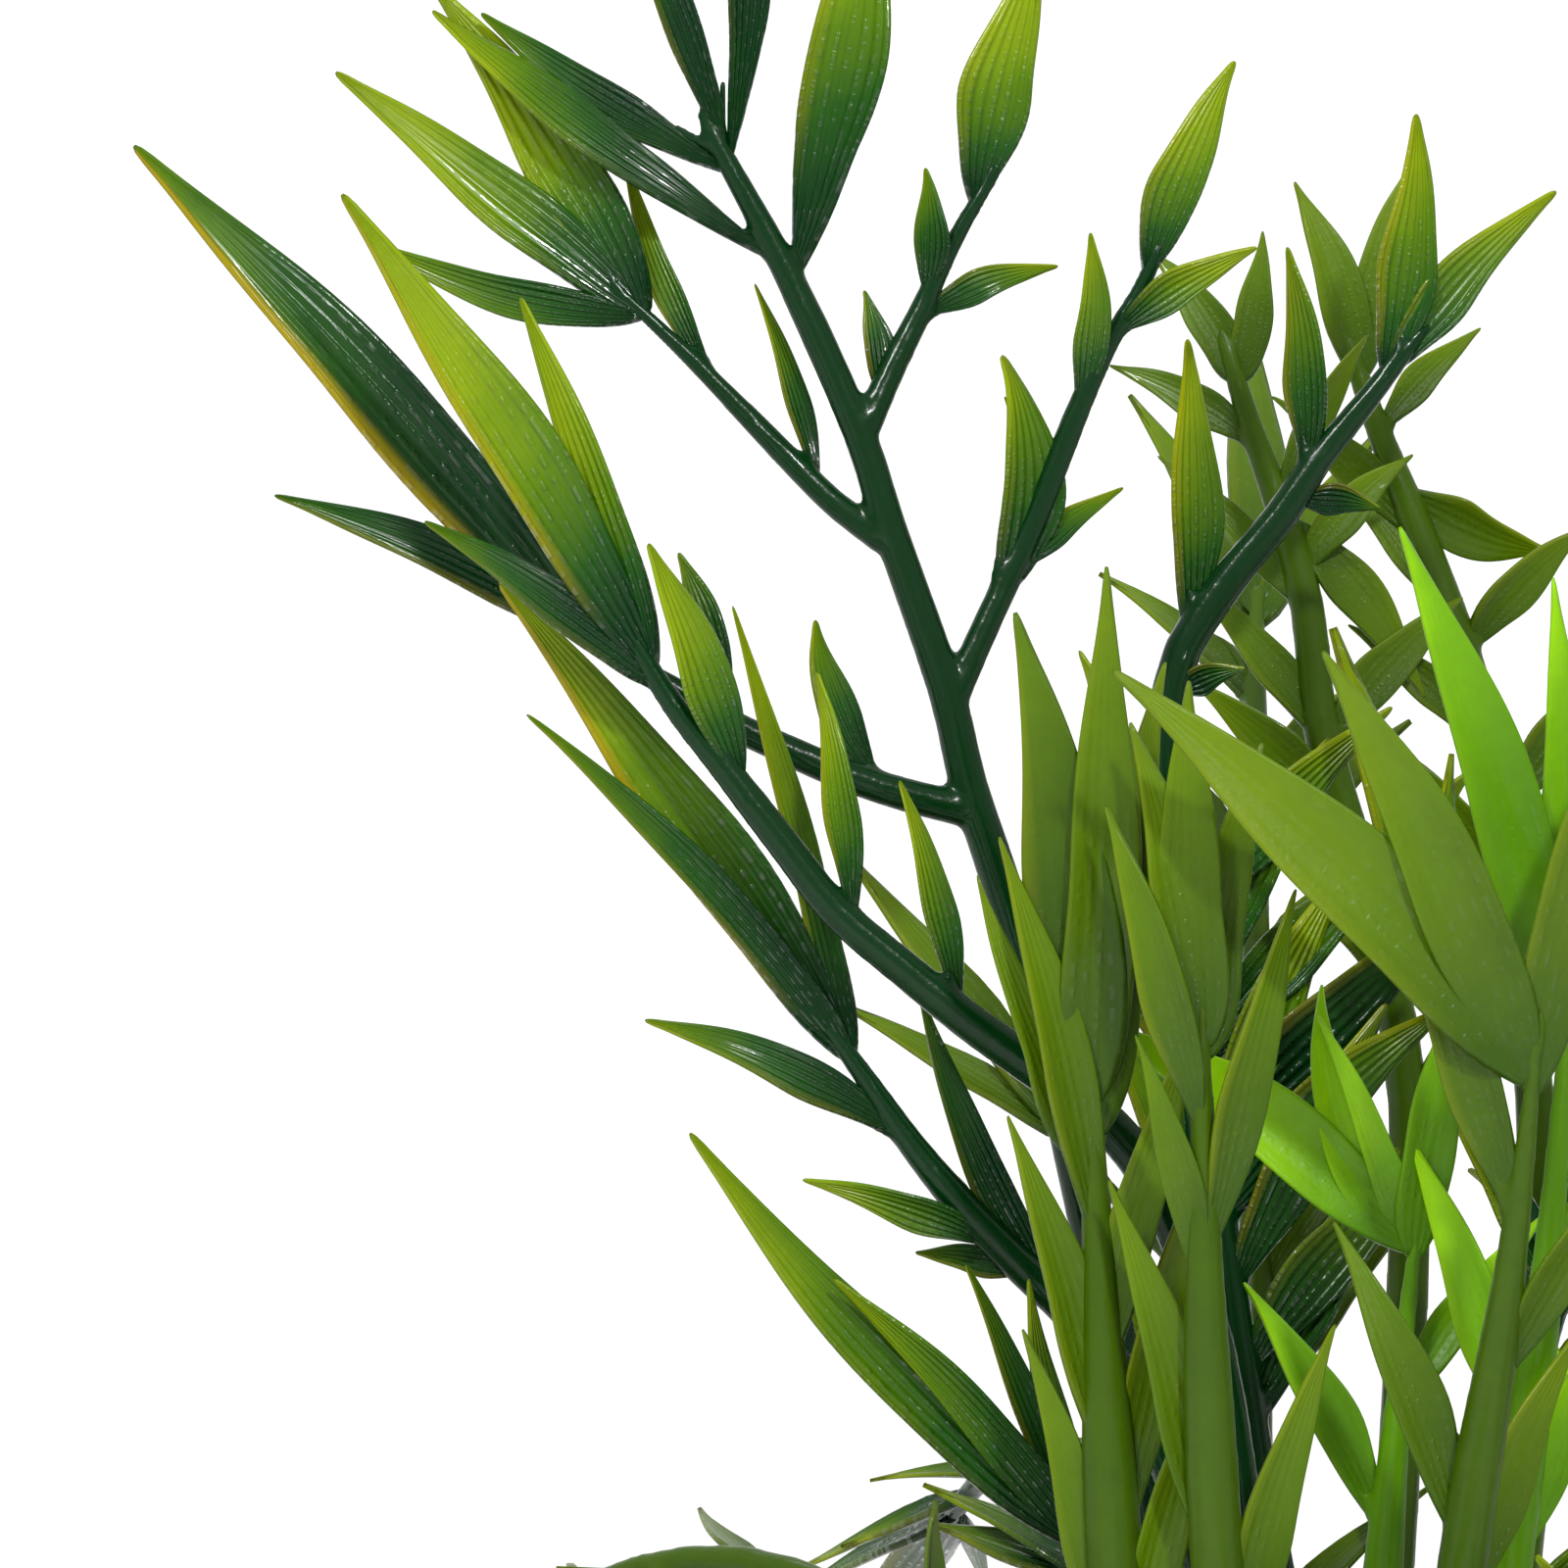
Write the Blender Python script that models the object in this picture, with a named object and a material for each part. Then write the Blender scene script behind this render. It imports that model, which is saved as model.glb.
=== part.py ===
"""A moulded plastic aquarium fern planted in a piece of driftwood, about 180 mm long.

Row frame: +Z up, the origin on the driftwood's sawn underside, X along the trunk.
Every size below is in millimetres. A sprig is a stem with the blades moulded on it;
each sprig is one solid, and a side branch is a sprig whose foot is cut to its parent stem.
"""

import math
import random

import bmesh
import bpy
from mathutils import Matrix, Vector

MM = 0.001
GAP = 0.3  # clear space between two separate pieces

# The driftwood: centre line of the trunk, with the radius at each point, and its arms.
TRUNK = [
    (-88, 8, 12, 2.5),
    (-80, 7, 13, 8),
    (-60, 4, 16, 13),
    (-38, -3, 17, 17.5),
    (-10, -2, 18, 22),
    (18, 2, 18, 21.5),
    (42, 4, 17, 17.5),
    (60, -3, 17, 14),
    (76, -10, 20, 9),
    (86, -15, 23, 3),
]
WOOD_ARMS = {
    "driftwood_arm_raised": [(50, 2, 20, 9), (68, 12, 36, 7), (82, 16, 52, 5), (90, 24, 66, 2)],
    "driftwood_arm_stub": [(-32, -8, 25, 8), (-37, -19, 34, 6), (-40, -26, 42, 2.5)],
    "driftwood_root_front": [(-46, -6, 16, 10), (-60, -24, 18, 8), (-74, -36, 10, 6.5), (-87, -43, 3.5, 3)],
    "driftwood_root_back": [(22, 10, 17, 10), (34, 28, 17, 8), (48, 40, 9, 6.5), (62, 48, 3.5, 3)],
}
TRUNK_SIDES = 12
ARM_SIDES = 9
WOOD_RIPPLE = 0.13  # how far the wood's section strays from round, as a share of its radius
WOOD_TWIST = 0.35  # how far the ripple turns, in radians, from one section to the next
WOOD_STEPS = 2  # sections between two points of a centre line
TRUNK_SEED = 3

# The plants.
FOOT_Z = 27  # the stems' glued ends, down in their drilled holes
WOOD_TOP = 40  # about where a stem leaves the wood
STEM_SIDES = 5
BRANCH_SIDES = 4
BLADE_THICK = 0.9
BLADE_BASE = 0.36  # width of a blade's foot as a share of its full width
BLADE_WIDEST = 0.42  # how far up the blade it is widest
BLADE_TURN = 18  # blades lean this many degrees out of the sprig's face, in turn

FINISHES = {
    "dark_plastic": ((0.02, 0.09, 0.04, 1), 0.38),
    "olive_plastic": ((0.13, 0.22, 0.02, 1), 0.42),
    "lime_plastic": ((0.18, 0.42, 0.01, 1), 0.45),
    "driftwood": ((0.23, 0.15, 0.09, 1), 0.85),
}

FRONT = (0, -1, 0)

# Sprigs set out one by one. "route" is the stem's centre line, "radii" its first and last
# radius, and each blade is (height of its foot on the stem, tip, width, sideways bow, stalk),
# where stalk is the share of its length that stays as narrow as a stem.
SPRIGS = {
    "tall_stem": {
        "plastic": "dark_plastic",
        "route": [
            (-4, 2, FOOT_Z), (-4.6, 2, 44), (-6.2, 1.5, 57), (-8.6, 1, 69), (-11.2, 0.5, 80.5),
            (-13.8, 0, 89.5), (-15.6, 0, 95), (-16.8, 0, 100), (-19.6, 0, 108), (-21.2, 0, 113),
            (-24.8, 0, 121), (-28.6, 0, 128),
        ],
        "radii": (1.3, 0.8),
        "blades": [
            (127.6, (-27, 0.5, 147), 2.2, 0.6, 0.3),
            (127.6, (-34, -0.5, 142), 2.0, 0.5, 0.3),
            (127.2, (-40.5, 0.5, 134.4), 2.2, -0.4, 0.3),
            (121.6, (-43, 1, 134.6), 2.7, -0.6, 0.45),
            (120.6, (-20.4, 0.5, 142), 4.3, 0.8, 0.32),
        ],
    },
    "tall_stem_branch_left": {
        "plastic": "dark_plastic",
        "parent": "tall_stem",
        "route": [
            (-19.9, 0, 107.4), (-22.5, 0.6, 109.4), (-25, 1, 111.9), (-28, 1, 115),
            (-30.6, 1, 117.6), (-33.2, 1, 120),
        ],
        "radii": (0.8, 0.5),
        "blades": [
            (110.1, (-26.5, 2, 120.7), 1.4, 0.4, 0),
            (115.6, (-33.2, 2.4, 127.2), 1.6, -0.5, 0),
            (119.8, (-46.4, 0, 122.8), 2.1, -0.9, 0),
            (119.8, (-48, 1.4, 131.5), 3.2, 0.2, 0),
            (119.8, (-43, 1.6, 136), 3.7, 0.6, 0),
        ],
    },
    "tall_stem_branch_low": {
        "plastic": "dark_plastic",
        "parent": "tall_stem",
        "route": [
            (-15.4, 0, 93.6), (-19, -0.6, 94.5), (-22, -1, 95.5), (-25, -1.2, 96.8),
            (-27.6, -1.4, 98), (-30.6, -1.6, 99.8), (-33.6, -1.8, 101.6), (-36.6, -2, 104),
        ],
        "radii": (0.95, 0.7),
        "blades": [
            (94.9, (-23.4, 0.4, 103.4), 2.3, -0.6, 0),
            (98.4, (-30.4, -0.4, 106.8), 2.3, 0.5, 0),
            (103.8, (-58, -2.4, 127.4), 4.1, 0.5, 0),
            (103.4, (-50.8, -3.2, 109.6), 2.3, 0.7, 0),
        ],
    },
    "tall_stem_branch_right": {
        "plastic": "dark_plastic",
        "parent": "tall_stem",
        "route": [
            (-20.8, 0, 113.2), (-19.5, 0.6, 116.2), (-18, 1, 119.2), (-16.8, 1, 121.8),
            (-15.5, 1, 124.2), (-14.4, 1, 126),
        ],
        "radii": (0.8, 0.55),
        "blades": [
            (114.8, (-20.9, 1.4, 120.3), 1.7, 0.3, 0),
            (119.8, (-17.8, 0.6, 126.5), 1.9, 0.4, 0),
            (118.8, (-10.9, 2.4, 121.6), 1.7, -0.5, 0),
            (125.6, (-11.8, 1, 138), 3.8, -0.4, 0.16),
        ],
    },
    "tall_stem_branch_mid": {
        "plastic": "dark_plastic",
        "parent": "tall_stem",
        "route": [
            (-16.3, 0, 99.4), (-15, 0.4, 102.4), (-13.6, 0.8, 105.4), (-12.3, 1, 108.2),
            (-11, 1, 111.5), (-9.8, 1, 114.5), (-8.3, 1, 117.7), (-6.8, 1, 120.2), (-5.8, 1, 122.5),
        ],
        "radii": (0.8, 0.6),
        "blades": [
            (104.2, (-13.9, 0, 116.9), 3.5, 1.7, 0),
            (109.4, (-13.7, 2, 114.9), 0.9, 0.2, 0),
            (114, (-9.4, -0.6, 123.1), 1.9, 0.5, 0),
            (118, (-0.8, 0.6, 122.4), 2.1, -0.5, 0),
            (105.6, (-7.6, 1.6, 110.2), 1.6, -0.3, 0),
            (122, (-1.9, 1, 132), 2.9, -0.4, 0.16),
        ],
    },
    "front_left_sprig": {
        "plastic": "dark_plastic",
        "route": [
            (-1.6, -12, FOOT_Z), (-1.8, -12, 44), (-2.4, -11.6, 57), (-3.8, -11, 67),
            (-6, -10.5, 74), (-8.8, -10, 78), (-12.4, -10, 80.8), (-15.8, -10, 83.2),
            (-19, -10, 85.8), (-22.4, -10, 88.7), (-25, -10, 92), (-27.8, -10, 95.6),
            (-30.4, -10, 98.8), (-32.4, -10, 102),
        ],
        "radii": (1.3, 0.75),
        "blades": [
            (101.6, (-46.9, -11, 124.2), 3.7, 0.4, 0),
            (101.6, (-38.1, -9.6, 119.2), 2.4, 0.3, 0),
            (101, (-42.8, -10.8, 108), 2.1, 0.4, 0),
            (94.6, (-31.7, -11.4, 106.9), 2.8, 0.3, 0),
            (88, (-23.4, -9, 100.6), 1.9, 0.5, 0),
            (83.6, (-19.3, -11, 95.2), 1.7, 0.4, 0),
        ],
    },
    "low_left_sprig": {
        "plastic": "dark_plastic",
        "route": [
            (-2.4, -6, FOOT_Z), (-2.8, -6, 44), (-3.8, -6, 55), (-6.6, -6, 63), (-10.2, -6, 68),
            (-13, -6, 70.7), (-16, -6, 73.8), (-18.5, -6, 76.8), (-20.6, -6, 79.8), (-22.6, -6, 82.6),
        ],
        "radii": (1.3, 0.7),
        "blades": [
            (82.2, (-39.3, -6.6, 105.2), 3.9, 0.5, 0),
            (82.2, (-37.9, -7.4, 98.5), 1.9, 0.9, 0),
            (82.2, (-27.6, -5.2, 104), 1.6, 0.3, 0),
            (77.2, (-32, -6.6, 83.2), 2.3, 0.6, 0),
            (71.8, (-24.1, -7, 75.2), 2.0, 0.4, 0),
            (70.4, (-18.4, -4.4, 71.4), 1.6, 0.2, 0),
            (72, (-19.8, -4, 77.4), 1.6, 0.2, 0),
            (68.6, (-18.2, -5, 84.6), 2.2, -0.6, 0),
        ],
    },
    "lowest_left_sprig": {
        "plastic": "dark_plastic",
        "route": [(-5.6, -8.6, FOOT_Z), (-6, -8.6, 43), (-7.6, -9, 50), (-9.4, -9.6, 55), (-11, -10, 58.8)],
        "radii": (1.2, 0.8),
        "blades": [
            (58.4, (-29.7, -11, 77.8), 3.1, -0.7, 0),
            (58.4, (-22.6, -11.6, 70.6), 2.2, 0.7, 0),
            (57.6, (-16, -9.2, 71.2), 1.7, 0.3, 0),
            (54, (-12.8, -8.2, 70.4), 2.1, -0.4, 0),
        ],
    },
    "front_olive_sprig": {
        "plastic": "olive_plastic",
        "route": [(-7.8, -17, FOOT_Z), (-8.2, -17, 44), (-9, -17, 58), (-9.6, -17, 70), (-10.2, -17, 81)],
        "radii": (1.4, 1.5),
        "blades": [
            (78, (-15.6, -16, 90.6), 1.8, -0.4, 0),
            (80.6, (-13.8, -17, 103.4), 4.4, 0.7, 0),
            (80.6, (-9.4, -18, 105.6), 3.6, 0.2, 0),
            (79, (-6.4, -16, 101), 3.2, -0.5, 0),
            (66, (-4.8, -17.4, 84), 2.6, -0.4, 0),
        ],
    },
    "front_centre_sprig": {
        "plastic": "olive_plastic",
        "route": [(-2.4, -18, FOOT_Z), (-3, -18.6, 44), (-4.2, -20, 58), (-4.8, -21, 70), (-5, -21.4, 84)],
        "radii": (1.4, 1.3),
        "blades": [
            (83.4, (-8.4, -21, 98), 3.0, 0.5, 0),
            (83.4, (-5.6, -21.4, 100), 3.4, -0.3, 0),
            (83, (-2, -20.4, 97), 2.8, -0.5, 0),
            (72, (-0.4, -20.6, 90), 2.6, -0.4, 0),
            (70, (-8.2, -21.6, 83), 2.0, 0.5, 0),
        ],
    },
    "front_right_sprig": {
        "plastic": "olive_plastic",
        "route": [(6, -17, FOOT_Z), (6.4, -18, 44), (7.6, -21, 58), (9.4, -24, 71), (10.6, -26, 83)],
        "radii": (1.4, 1.1),
        "blades": [
            (82, (-9.6, -26.6, 100.4), 4.9, 0.9, 0),
            (82, (0.3, -27.4, 101.3), 4.1, 0.6, 0),
            (81.4, (17, -27, 103), 3.6, -0.8, 0),
            (66, (17.4, -24, 80), 2.6, -0.6, 0),
        ],
    },
    "lime_upright_sprig": {
        "plastic": "lime_plastic",
        "route": [(9, -11, FOOT_Z), (9.4, -12, 44), (10.6, -15, 58), (12, -18, 72), (12.8, -19.4, 85)],
        "radii": (1.3, 1.0),
        "blades": [
            (84, (4.5, -21, 107.4), 3.8, 0.6, 0),
            (84, (12, -20, 105), 2.8, 0.4, 0),
            (83, (20.4, -19, 102), 3.2, -0.6, 0),
            (70, (20, -16.4, 84), 2.4, -0.5, 0),
        ],
    },
    "lime_low_sprig": {
        "plastic": "lime_plastic",
        "route": [(3.4, -11, FOOT_Z), (3.6, -11.6, 44), (4.4, -13, 56), (5.2, -14, 66), (6, -14.6, 74)],
        "radii": (1.3, 1.0),
        "blades": [
            (73.4, (-9.6, -14, 83.4), 3.9, 0.8, 0),
            (73.4, (1, -15.4, 83.8), 1.6, 0.3, 0),
            (73.4, (1.4, -13.4, 85.2), 2.7, -1.4, 0),
            (73, (8.4, -15, 86), 2.6, -0.4, 0),
            (64, (12.6, -12.6, 74), 2.2, -0.5, 0),
        ],
    },
    "back_right_dark_sprig": {
        "plastic": "dark_plastic",
        "route": [
            (2.4, 7, FOOT_Z), (2, 7.4, 44), (-0.6, 8, 60), (-3, 8, 76), (-5, 8, 90), (-4.8, 8, 100),
            (-2.4, 8, 104.8), (0.8, 8, 108.8), (2.8, 8, 111.8), (5.4, 8, 115), (7.4, 8, 117.6),
        ],
        "radii": (1.3, 0.8),
        "blades": [
            (102, (-4, 7.2, 118.2), 2.9, 0.5, 0),
            (111, (1.2, 7.4, 123), 2.4, 0.4, 0),
            (109.8, (6.2, 9, 109.4), 1.7, -0.3, 0),
            (99.6, (-1, 7, 101), 1.7, -0.3, 0),
            (90, (-9.6, 8.6, 102), 2.2, 0.4, 0),
            (117.2, (8, 8, 130), 3.2, 0.5, 0.12),
            (117.2, (15.4, 8.6, 126), 2.8, -0.6, 0.12),
        ],
    },
    "back_olive_sprig": {
        "plastic": "olive_plastic",
        "route": [
            (6.6, 14, FOOT_Z), (6.8, 14.6, 44), (8, 16, 62), (8.4, 17, 78), (6.2, 17, 89), (3.8, 17, 97.6),
            (3, 17, 104.4), (1.6, 17, 109.6), (0, 17, 114), (-1.2, 17, 118),
        ],
        "radii": (1.3, 0.8),
        "blades": [
            (97, (-3.4, 16, 106), 2.4, 0.5, 0),
            (109.4, (9.4, 18, 99.6), 2.9, -0.5, 0),
            (104, (-5, 17.6, 112.6), 1.9, 0.4, 0),
            (110, (6.2, 16.4, 119), 2.0, -0.5, 0),
            (117.6, (0.6, 17, 124.6), 2.1, 0.3, 0),
            (117.6, (-5.4, 17.6, 123.6), 2.3, 0.5, 0),
            (88, (12, 16, 96), 2.4, -0.5, 0),
        ],
    },
    "back_far_sprig": {
        "plastic": "olive_plastic",
        "route": [
            (13, 15, FOOT_Z), (13.4, 16, 44), (15.4, 19, 62), (15.6, 21, 78), (14, 21, 90),
            (12.4, 21, 100), (9.6, 21, 108), (7.2, 21, 114), (5.6, 21, 118.6),
        ],
        "radii": (1.3, 0.8),
        "blades": [
            (111, (16.6, 22, 107.6), 3.2, 0.6, 0),
            (114, (12.6, 20, 119.6), 2.0, -0.4, 0),
            (104, (3.8, 21.6, 113), 2.2, 0.5, 0),
            (118, (2.6, 21, 127.6), 2.8, 0.4, 0),
            (118, (9.2, 21.4, 129), 2.4, -0.5, 0),
            (97, (5.4, 20, 103.6), 2.2, 0.4, 0),
        ],
    },
}
# Sprigs that fill out the bush, grown by one rule: (foot, heading, lean, length, plastic, forks,
# how it spreads). The heading is counted from +X, and the lean, in degrees, is what the stem ends
# at. One that "stands" spreads its blades up and down, and one that "arches" to its two sides.
GROWN = {
    "right_low_stem": ((19, -4), -12, 76, 66, "dark_plastic", 1, "stands"),
    "right_mid_stem": ((15, 0), 0, 52, 78, "lime_plastic", 1, "stands"),
    "right_high_stem": ((9.5, 3), 8, 30, 84, "dark_plastic", 1, "stands"),
    "right_back_stem": ((20, 5), 26, 58, 76, "olive_plastic", 1, "arches"),
    "right_front_stem": ((15, -13), -50, 62, 62, "dark_plastic", 1, "arches"),
    "back_right_low_stem": ((18, 13), 50, 72, 58, "dark_plastic", 1, "arches"),
    "back_tall_stem": ((0, 14), 86, 42, 74, "olive_plastic", 1, "arches"),
    "back_left_stem": ((-6, 10), 104, 112, 46, "dark_plastic", 0, "arches"),
    "back_low_stem": ((-13, 7), 142, 128, 44, "olive_plastic", 0, "arches"),
    "left_low_stem": ((-16, -2), 190, 128, 44, "dark_plastic", 0, "arches"),
    "front_left_low_stem": ((-13, -10), 226, 124, 44, "dark_plastic", 0, "arches"),
    "front_low_stem": ((1, -17), 268, 110, 42, "lime_plastic", 0, "arches"),
    "front_right_low_stem": ((12, -16), 304, 104, 46, "olive_plastic", 0, "arches"),
}
GROWN_RADII = (1.2, 0.75)
GROWN_BRANCH_RADII = (0.75, 0.5)
GROWN_STEPS = 4
FIRST_BLADE = 15  # how far above the wood a grown stem has its first side blade
BEND_EARLY = 0.8  # below 1, a grown stem leans over mostly in its lower part
FORK_SHARE = 0.36  # how far up a grown stem its side branch leaves it
FORK_ANGLE = 46
FORK_LENGTH = 17
LEAF_STEP = 13  # along a stem, from one side blade to the next
LEAF_ANGLE = 38  # degrees between a side blade and its stem
FORK_CLEAR = (-18, 12)  # no side blade from this far below a fork to this far above it
FORK_BLADE_SIZE = 0.8
LEAF_LENGTH = 15
LEAF_WIDTH = 2.2
FROND = [(0, 24, 3.4), (24, 18, 2.3), (-26, 16, 2.2)]  # each end blade's turn, length, width


def smooth(points, steps):
    """A smooth curve through the points, as a list of vectors."""
    knots = [Vector(p) for p in points]
    ends = [2 * knots[0] - knots[1], *knots, 2 * knots[-1] - knots[-2]]
    curve = []
    for a, b, c, d in zip(ends, ends[1:], ends[2:], ends[3:]):
        linear, square, cube = c - a, 2 * a - 5 * b + 4 * c - d, 3 * b - a - 3 * c + d
        for i in range(steps):
            t = i / steps
            curve.append(b + 0.5 * (linear * t + square * t**2 + cube * t**3))
    return [*curve, knots[-1]]


def tangents(route):
    """The direction of travel at each point of a route."""
    last = len(route) - 1
    return [(route[min(i + 1, last)] - route[max(i - 1, 0)]).normalized() for i in range(last + 1)]


def at_height(route, z):
    """The point where a rising route reaches the height z."""
    for a, b in zip(route, route[1:]):
        if z <= b.z:
            return a.lerp(b, (z - a.z) / (b.z - a.z))
    return route[-1]


def at_distance(route, distance):
    """The point that far along a route, and its direction there."""
    for a, b in zip(route, route[1:]):
        span = (b - a).length
        if distance <= span:
            return a.lerp(b, distance / span), (b - a).normalized()
        distance -= span
    return route[-1], (route[-1] - route[-2]).normalized()


def loft(rings):
    """A closed mesh through rings of points; a last ring of one point is a tip."""
    bm = bmesh.new()
    layers = [[bm.verts.new(p * MM) for p in ring] for ring in rings]
    for low, high in zip(layers, layers[1:]):
        count = len(low)
        for i in range(count):
            j = (i + 1) % count
            if len(high) == 1:
                bm.faces.new((low[i], low[j], high[0]))
            else:
                bm.faces.new((low[i], low[j], high[j], high[i]))
    bm.faces.new(list(reversed(layers[0])))
    if len(layers[-1]) > 1:
        bm.faces.new(layers[-1])
    bmesh.ops.recalc_face_normals(bm, faces=bm.faces)
    bmesh.ops.triangulate(bm, faces=bm.faces)
    mesh = bpy.data.meshes.new("solid")
    bm.to_mesh(mesh)
    bm.free()
    return mesh


def tube(route, first, last, face, sides, grow=0.0):
    """A tapering stem along a route, fatter by grow all round."""
    rings = []
    count = len(route) - 1
    for i, (point, along) in enumerate(zip(route, tangents(route))):
        across = along.cross(face).normalized()
        depth = across.cross(along)
        radius = first + (last - first) * i / count + grow
        centre = point + along * grow * ((i == count) - (i == 0))
        angles = [2 * math.pi * (k + 0.5) / sides for k in range(sides)]
        rings.append([centre + (across * math.cos(a) + depth * math.sin(a)) * radius for a in angles])
    return loft(rings)


def blade(foot, tip, width, bow, stalk, face, turn):
    """A lance-shaped blade, flat behind and ridged in front, widest below its middle."""
    along = (tip - foot).normalized()
    flat = Matrix.Rotation(math.radians(turn), 3, along) @ face
    across = along.cross(flat).normalized()
    thick = across.cross(along).normalized() * BLADE_THICK / 2
    middle = (foot + tip) / 2 + across * bow * 2
    stations = [(0, BLADE_BASE), (stalk + (1 - stalk) * BLADE_WIDEST, 1)]
    if stalk:
        stations.insert(1, (stalk, BLADE_BASE))
    rings = []
    for share, size in stations:
        centre = foot * (1 - share) ** 2 + middle * 2 * share * (1 - share) + tip * share**2
        side = across * width / 2 * size
        rings.append([centre + side - thick, centre + thick, centre - side - thick])
    return loft([*rings, [tip]])


def boolean(mesh, others, operation):
    """Joins a mesh with all the others, or cuts them all out of it, in one go."""
    target = bpy.data.objects.new("target", mesh)
    bpy.context.scene.collection.objects.link(target)
    tools = bpy.data.collections.new("tools")
    bpy.context.scene.collection.children.link(tools)
    for other in others:
        tools.objects.link(bpy.data.objects.new("tool", other))
    modifier = target.modifiers.new("boolean", "BOOLEAN")
    modifier.operation = operation
    modifier.solver = "EXACT"
    modifier.operand_type = "COLLECTION"
    modifier.collection = tools
    bpy.context.view_layer.update()
    mesh = bpy.data.meshes.new_from_object(target.evaluated_get(bpy.context.evaluated_depsgraph_get()))
    for thing in (target, *tools.objects):
        bpy.data.objects.remove(thing)
    bpy.data.collections.remove(tools)
    return mesh


def finish(name, mesh, finish_name):
    """Puts a finished mesh in the scene under its node's name."""
    mesh.materials.clear()
    mesh.materials.append(material(finish_name))
    bpy.context.scene.collection.objects.link(bpy.data.objects.new(name, mesh))


def material(name):
    """The plain material of one of the plastics, or of the wood."""
    made = bpy.data.materials.get(name)
    if made is None:
        made = bpy.data.materials.new(name)
        made.use_nodes = True
        shader = made.node_tree.nodes["Principled BSDF"]
        colour, roughness = FINISHES[name]
        shader.inputs["Base Color"].default_value = colour
        shader.inputs["Roughness"].default_value = roughness
        shader.inputs["Metallic"].default_value = 0
    return made


def turned(along, degrees, face):
    """A direction swung to one side of a stem, within the sprig's face."""
    square = (face - along * face.dot(along)).normalized()
    return Matrix.Rotation(math.radians(degrees), 3, square) @ along


def grown_sprigs():
    """The sprigs that fill out the bush, in the same form as SPRIGS."""
    made = {}
    for seed, (name, values) in enumerate(GROWN.items()):
        foot, heading, lean, length, plastic, forks, spread = values
        rng = random.Random(seed)
        out = Vector((math.cos(math.radians(heading)), math.sin(math.radians(heading)), 0))
        face = Vector((out.y, -out.x, 0)) if spread == "stands" else Vector((0, 0, 1)) - out
        route = [Vector((*foot, FOOT_Z)), Vector((*foot, WOOD_TOP + 2))]
        for i in range(1, GROWN_STEPS + 1):
            angle = math.radians(lean) * (i / GROWN_STEPS) ** BEND_EARLY
            way = out * math.sin(angle) + Vector((0, 0, math.cos(angle)))
            route.append(route[-1] + way * length / GROWN_STEPS)
        bare = WOOD_TOP - FOOT_Z
        starts = [bare + length * FORK_SHARE] * forks
        made[name] = {
            "plastic": plastic,
            "route": route,
            "radii": GROWN_RADII,
            "face": face,
            "blades": grown_blades(route, bare + FIRST_BLADE, face, rng, 1.0, starts),
        }
        for start in starts:
            fork, along = at_distance(route, start)
            middle = fork + turned(along, FORK_ANGLE, face) * FORK_LENGTH * 0.55
            limb = [fork, middle, middle + turned(along, FORK_ANGLE * 0.8, face) * FORK_LENGTH * 0.45]
            made[f"{name}_branch"] = {
                "plastic": plastic,
                "parent": name,
                "route": limb,
                "radii": GROWN_BRANCH_RADII,
                "face": face,
                "blades": grown_blades(limb, FORK_LENGTH, face, rng, FORK_BLADE_SIZE, []),
            }
    return made


def grown_blades(route, start, face, rng, size, forks):
    """Side blades in turn on either side of a stem, clear of its forks, and the frond on its end."""
    total = sum((b - a).length for a, b in zip(route, route[1:]))
    blades = []
    distance, side = start, 1
    while distance < total - LEAF_STEP / 2:
        foot, along = at_distance(route, distance)
        way = turned(along, side * (LEAF_ANGLE + rng.uniform(-6, 6)), face)
        tip = foot + way * LEAF_LENGTH * size * rng.uniform(0.8, 1.1) + face * rng.uniform(-1.5, 1.5)
        crowded = [f for f in forks if side > 0 and FORK_CLEAR[0] < distance - f < FORK_CLEAR[1]]
        if not crowded:
            blades.append((foot, tip, LEAF_WIDTH * size, side * 0.5, 0))
        distance += LEAF_STEP
        side = -side
    for i, (turn, length, width) in enumerate(FROND):
        end, along = at_distance(route, total - 0.5 - 0.4 * i)
        way = turned(along, turn + rng.uniform(-4, 4), face)
        tip = end + way * length * size + face * rng.uniform(-1, 1)
        blades.append((end, tip, width * size, 0.4 * math.copysign(1, turn), 0))
    return blades


def stem_of(sprig, grow=0.0):
    """The bare stem of a sprig."""
    sides = BRANCH_SIDES if "parent" in sprig else STEM_SIDES
    face = Vector(sprig.get("face", FRONT))
    return tube([Vector(p) for p in sprig["route"]], *sprig["radii"], face, sides, grow)


def build_sprig(name, sprig, sprigs):
    """One moulding: a stem with its blades, cut clear of the stem that carries it."""
    route = [Vector(p) for p in sprig["route"]]
    face = Vector(sprig.get("face", FRONT))
    solids = []
    for i, (start, tip, width, bow, stalk) in enumerate(sprig["blades"]):
        foot = start if isinstance(start, Vector) else at_height(route, start)
        turn = BLADE_TURN * (1, -1, 0.4)[i % 3]
        solids.append(blade(foot, Vector(tip), width, bow, stalk, face, turn))
    mesh = boolean(stem_of(sprig), solids, "UNION")
    if "parent" in sprig:
        mesh = boolean(mesh, [stem_of(sprigs[sprig["parent"]], GAP)], "DIFFERENCE")
    finish(name, mesh, sprig["plastic"])


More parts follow.
